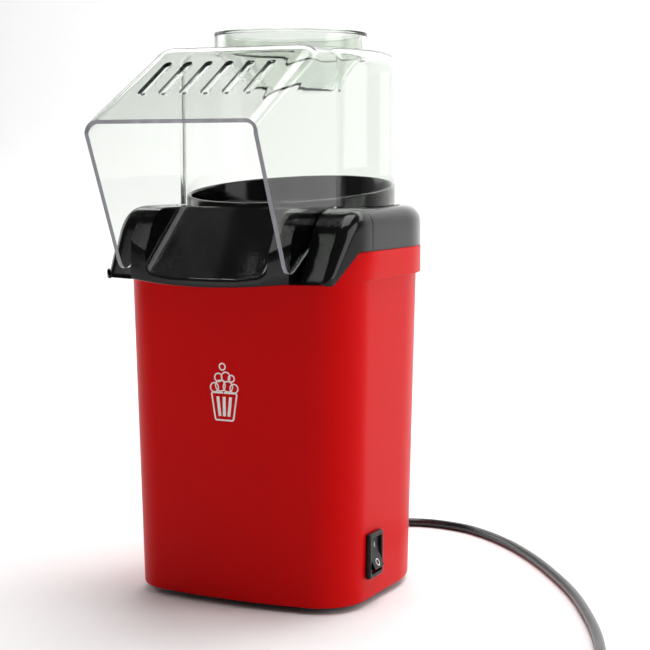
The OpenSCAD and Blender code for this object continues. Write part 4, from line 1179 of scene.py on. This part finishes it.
def rocker_surface():
    """The side view, a closed outline, at many places across; near both sides it shrinks by
    s = r (1 - cos a)."""
    outline = rounded(face_line.tolist() + [(6.6, -2.5), (2.6, -4.2), (-2.6, -4.2), (-6.6, -2.5)],
                      [0.7, 2, 2.5, 2, 0.7, 1, 1, 1, 1], 6)
    a = np.radians(np.linspace(0, 90, 7))
    from_side = rocker_edge * (1 - np.sin(a))
    across = np.concatenate([from_side - rocker_w / 2, (rocker_w / 2 - from_side)[::-1]])
    shrink = rocker_edge * np.concatenate([(1 - np.cos(a))[::-1], 1 - np.cos(a)])
    scale = (1 - shrink / 5)[:, None]
    along = outline[None, :, 0] * scale
    out = outline[None, :, 1] * scale
    return surface(on_rocker(across[:, None] + 0 * along, along, out), close_columns=True, caps=True)


def rocker_pin():
    """The pin that the rocker tips about: a circle carried across, 1 mm past the rocker at both ends."""
    circle = arc((0, 0), pin_r, 0, 360, 25)[None, :-1]
    across = np.array([-rocker_w / 2 - 1, rocker_w / 2 + 1])[:, None]
    along, out = circle[..., 0] + 0 * across, circle[..., 1] + 0 * across
    return surface(on_rocker(across + 0 * along, along, out), close_columns=True, caps=True)


def on_face(side, height):
    """Points given as (across, along), laid on the rocker's face at a height above it."""
    out = np.interp(side[:, 1], face_line[:, 0], face_line[:, 1]) + height
    return on_rocker(side[:, 0], side[:, 1], out)


rocker = make_piece("switch_rocker_moulding", "rocker", M["switch_black"],
                    [rocker_surface(), rocker_pin()])
bar = np.linspace((0, 2.8), (0, 5.2), 8)
ring_mark = arc((0, -4.3), 1.5, 0, 360, 41)[:-1]
make_piece("on_off_marks", "rocker", M["print_white"],
           [ribbon(bar, 0.4, False, on_face, 0.1, 0.04), ribbon(ring_mark, 0.4, True, on_face, 0.1, 0.04)],
           merge=0.0005)
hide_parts("switch_rocker")
print("rocker pivot", np.round(pivot, 2))

# %% [markdown]
# ## Finishes for the CAD nodes
#
# The pieces whose shape is already right keep the mesh that the frame made: screws, feet, the base, the
# can, the motor and the fan.  Each takes the finish that its record names.

# %% Finish every remaining node
for part in frame["record"]["subparts"]:
    node = frame["nodes"][part["node"]]
    node.data.materials.clear()
    node.data.materials.append(M[part["material_slot"]])
print("finished", len(frame["nodes"]), "nodes")

# %% [markdown]
# ## Floor and light
#
# A white sweep and large soft lights.  The brightest light stands to the right, so the side of the body is
# brighter than its front, and a broad one above gives the black housing its soft upper edge.

# %% White sweep
def sweep_surface():
    """A floor that curves up into a backdrop: a straight line, a quarter circle and an upright line, carried
    sideways."""
    line = np.vstack([[(-3000, 0), (900, 0)], arc((900, 1500), 1500, -90, 0, 24), [(2400, 4000)]])
    across = np.array([-4500.0, 4500.0])[:, None]
    y, z = line[None, :, 0], line[None, :, 1]
    return surface(np.stack([across + 0 * y, y + 0 * across, z + 0 * across], axis=-1), flip=True)


points, faces = sweep_surface()
mesh = bpy.data.meshes.new("white_sweep")
mesh.from_pydata((points / 1000).tolist(), [], faces)
sweep = bpy.data.objects.new("white_sweep", mesh)
bpy.context.scene.collection.objects.link(sweep)
shade(mesh)
mesh.materials.append(finish("white_paper", "f7f7f7", 0.75, 1.5, 0.02, 0.01, 0.05))

# %% Lights
def soft_box(name, place, target, size, power, spread=180):
    """A rectangular area light that looks at a target, with its size in metres and its power in watts."""
    light = bpy.data.lights.new(name, "AREA")
    light.shape = "RECTANGLE"
    light.size, light.size_y = size
    light.energy = power
    light.spread = math.radians(spread)
    lamp = bpy.data.objects.new(name, light)
    lamp.location = place
    direction = Vector(target) - Vector(place)
    lamp.rotation_euler = direction.to_track_quat("-Z", "Y").to_euler()
    bpy.context.scene.collection.objects.link(lamp)


middle = (0, 0, 0.13)
soft_box("light_right", (1.6, 0.25, 0.75), middle, (0.9, 1.2), 11)
soft_box("light_top", (0.3, 0.2, 1.9), middle, (1.3, 1.2), 25)
soft_box("light_left", (-1.7, 0.5, 0.6), middle, (0.8, 1.2), 7)
soft_box("light_back", (0, 2.0, 2.0), (0, 2.1, 0), (4.5, 1.0), 54)
soft_box("light_floor", (0, -2.2, 2.0), (0, -2.2, 0), (4.5, 1.6), 60, spread=70)
soft_box("light_front", (-0.95, -1.15, 1.65), middle, (0.5, 0.5), 2.5)

# %% Room
# The room is dim in what it adds to the light, and white where it is looked at directly or through the hood.
world = bpy.data.worlds.new("studio")
bpy.context.scene.world = world
world.use_nodes = True
tree = world.node_tree
path = add_node(tree, "ShaderNodeLightPath", {})
bounces = add_node(tree, "ShaderNodeMath",
                   {0: path.outputs["Diffuse Depth"], 1: path.outputs["Glossy Depth"]}, operation="ADD")
level = add_node(tree, "ShaderNodeMapRange", {"Value": bounces.outputs[0], "To Min": 0.95, "To Max": 0.14})
fill_inputs(tree, tree.nodes["Background"], {"Color": (1, 1, 1, 1), "Strength": level.outputs[0]})
bpy.context.scene.view_settings.view_transform = "Standard"
print("lights set")
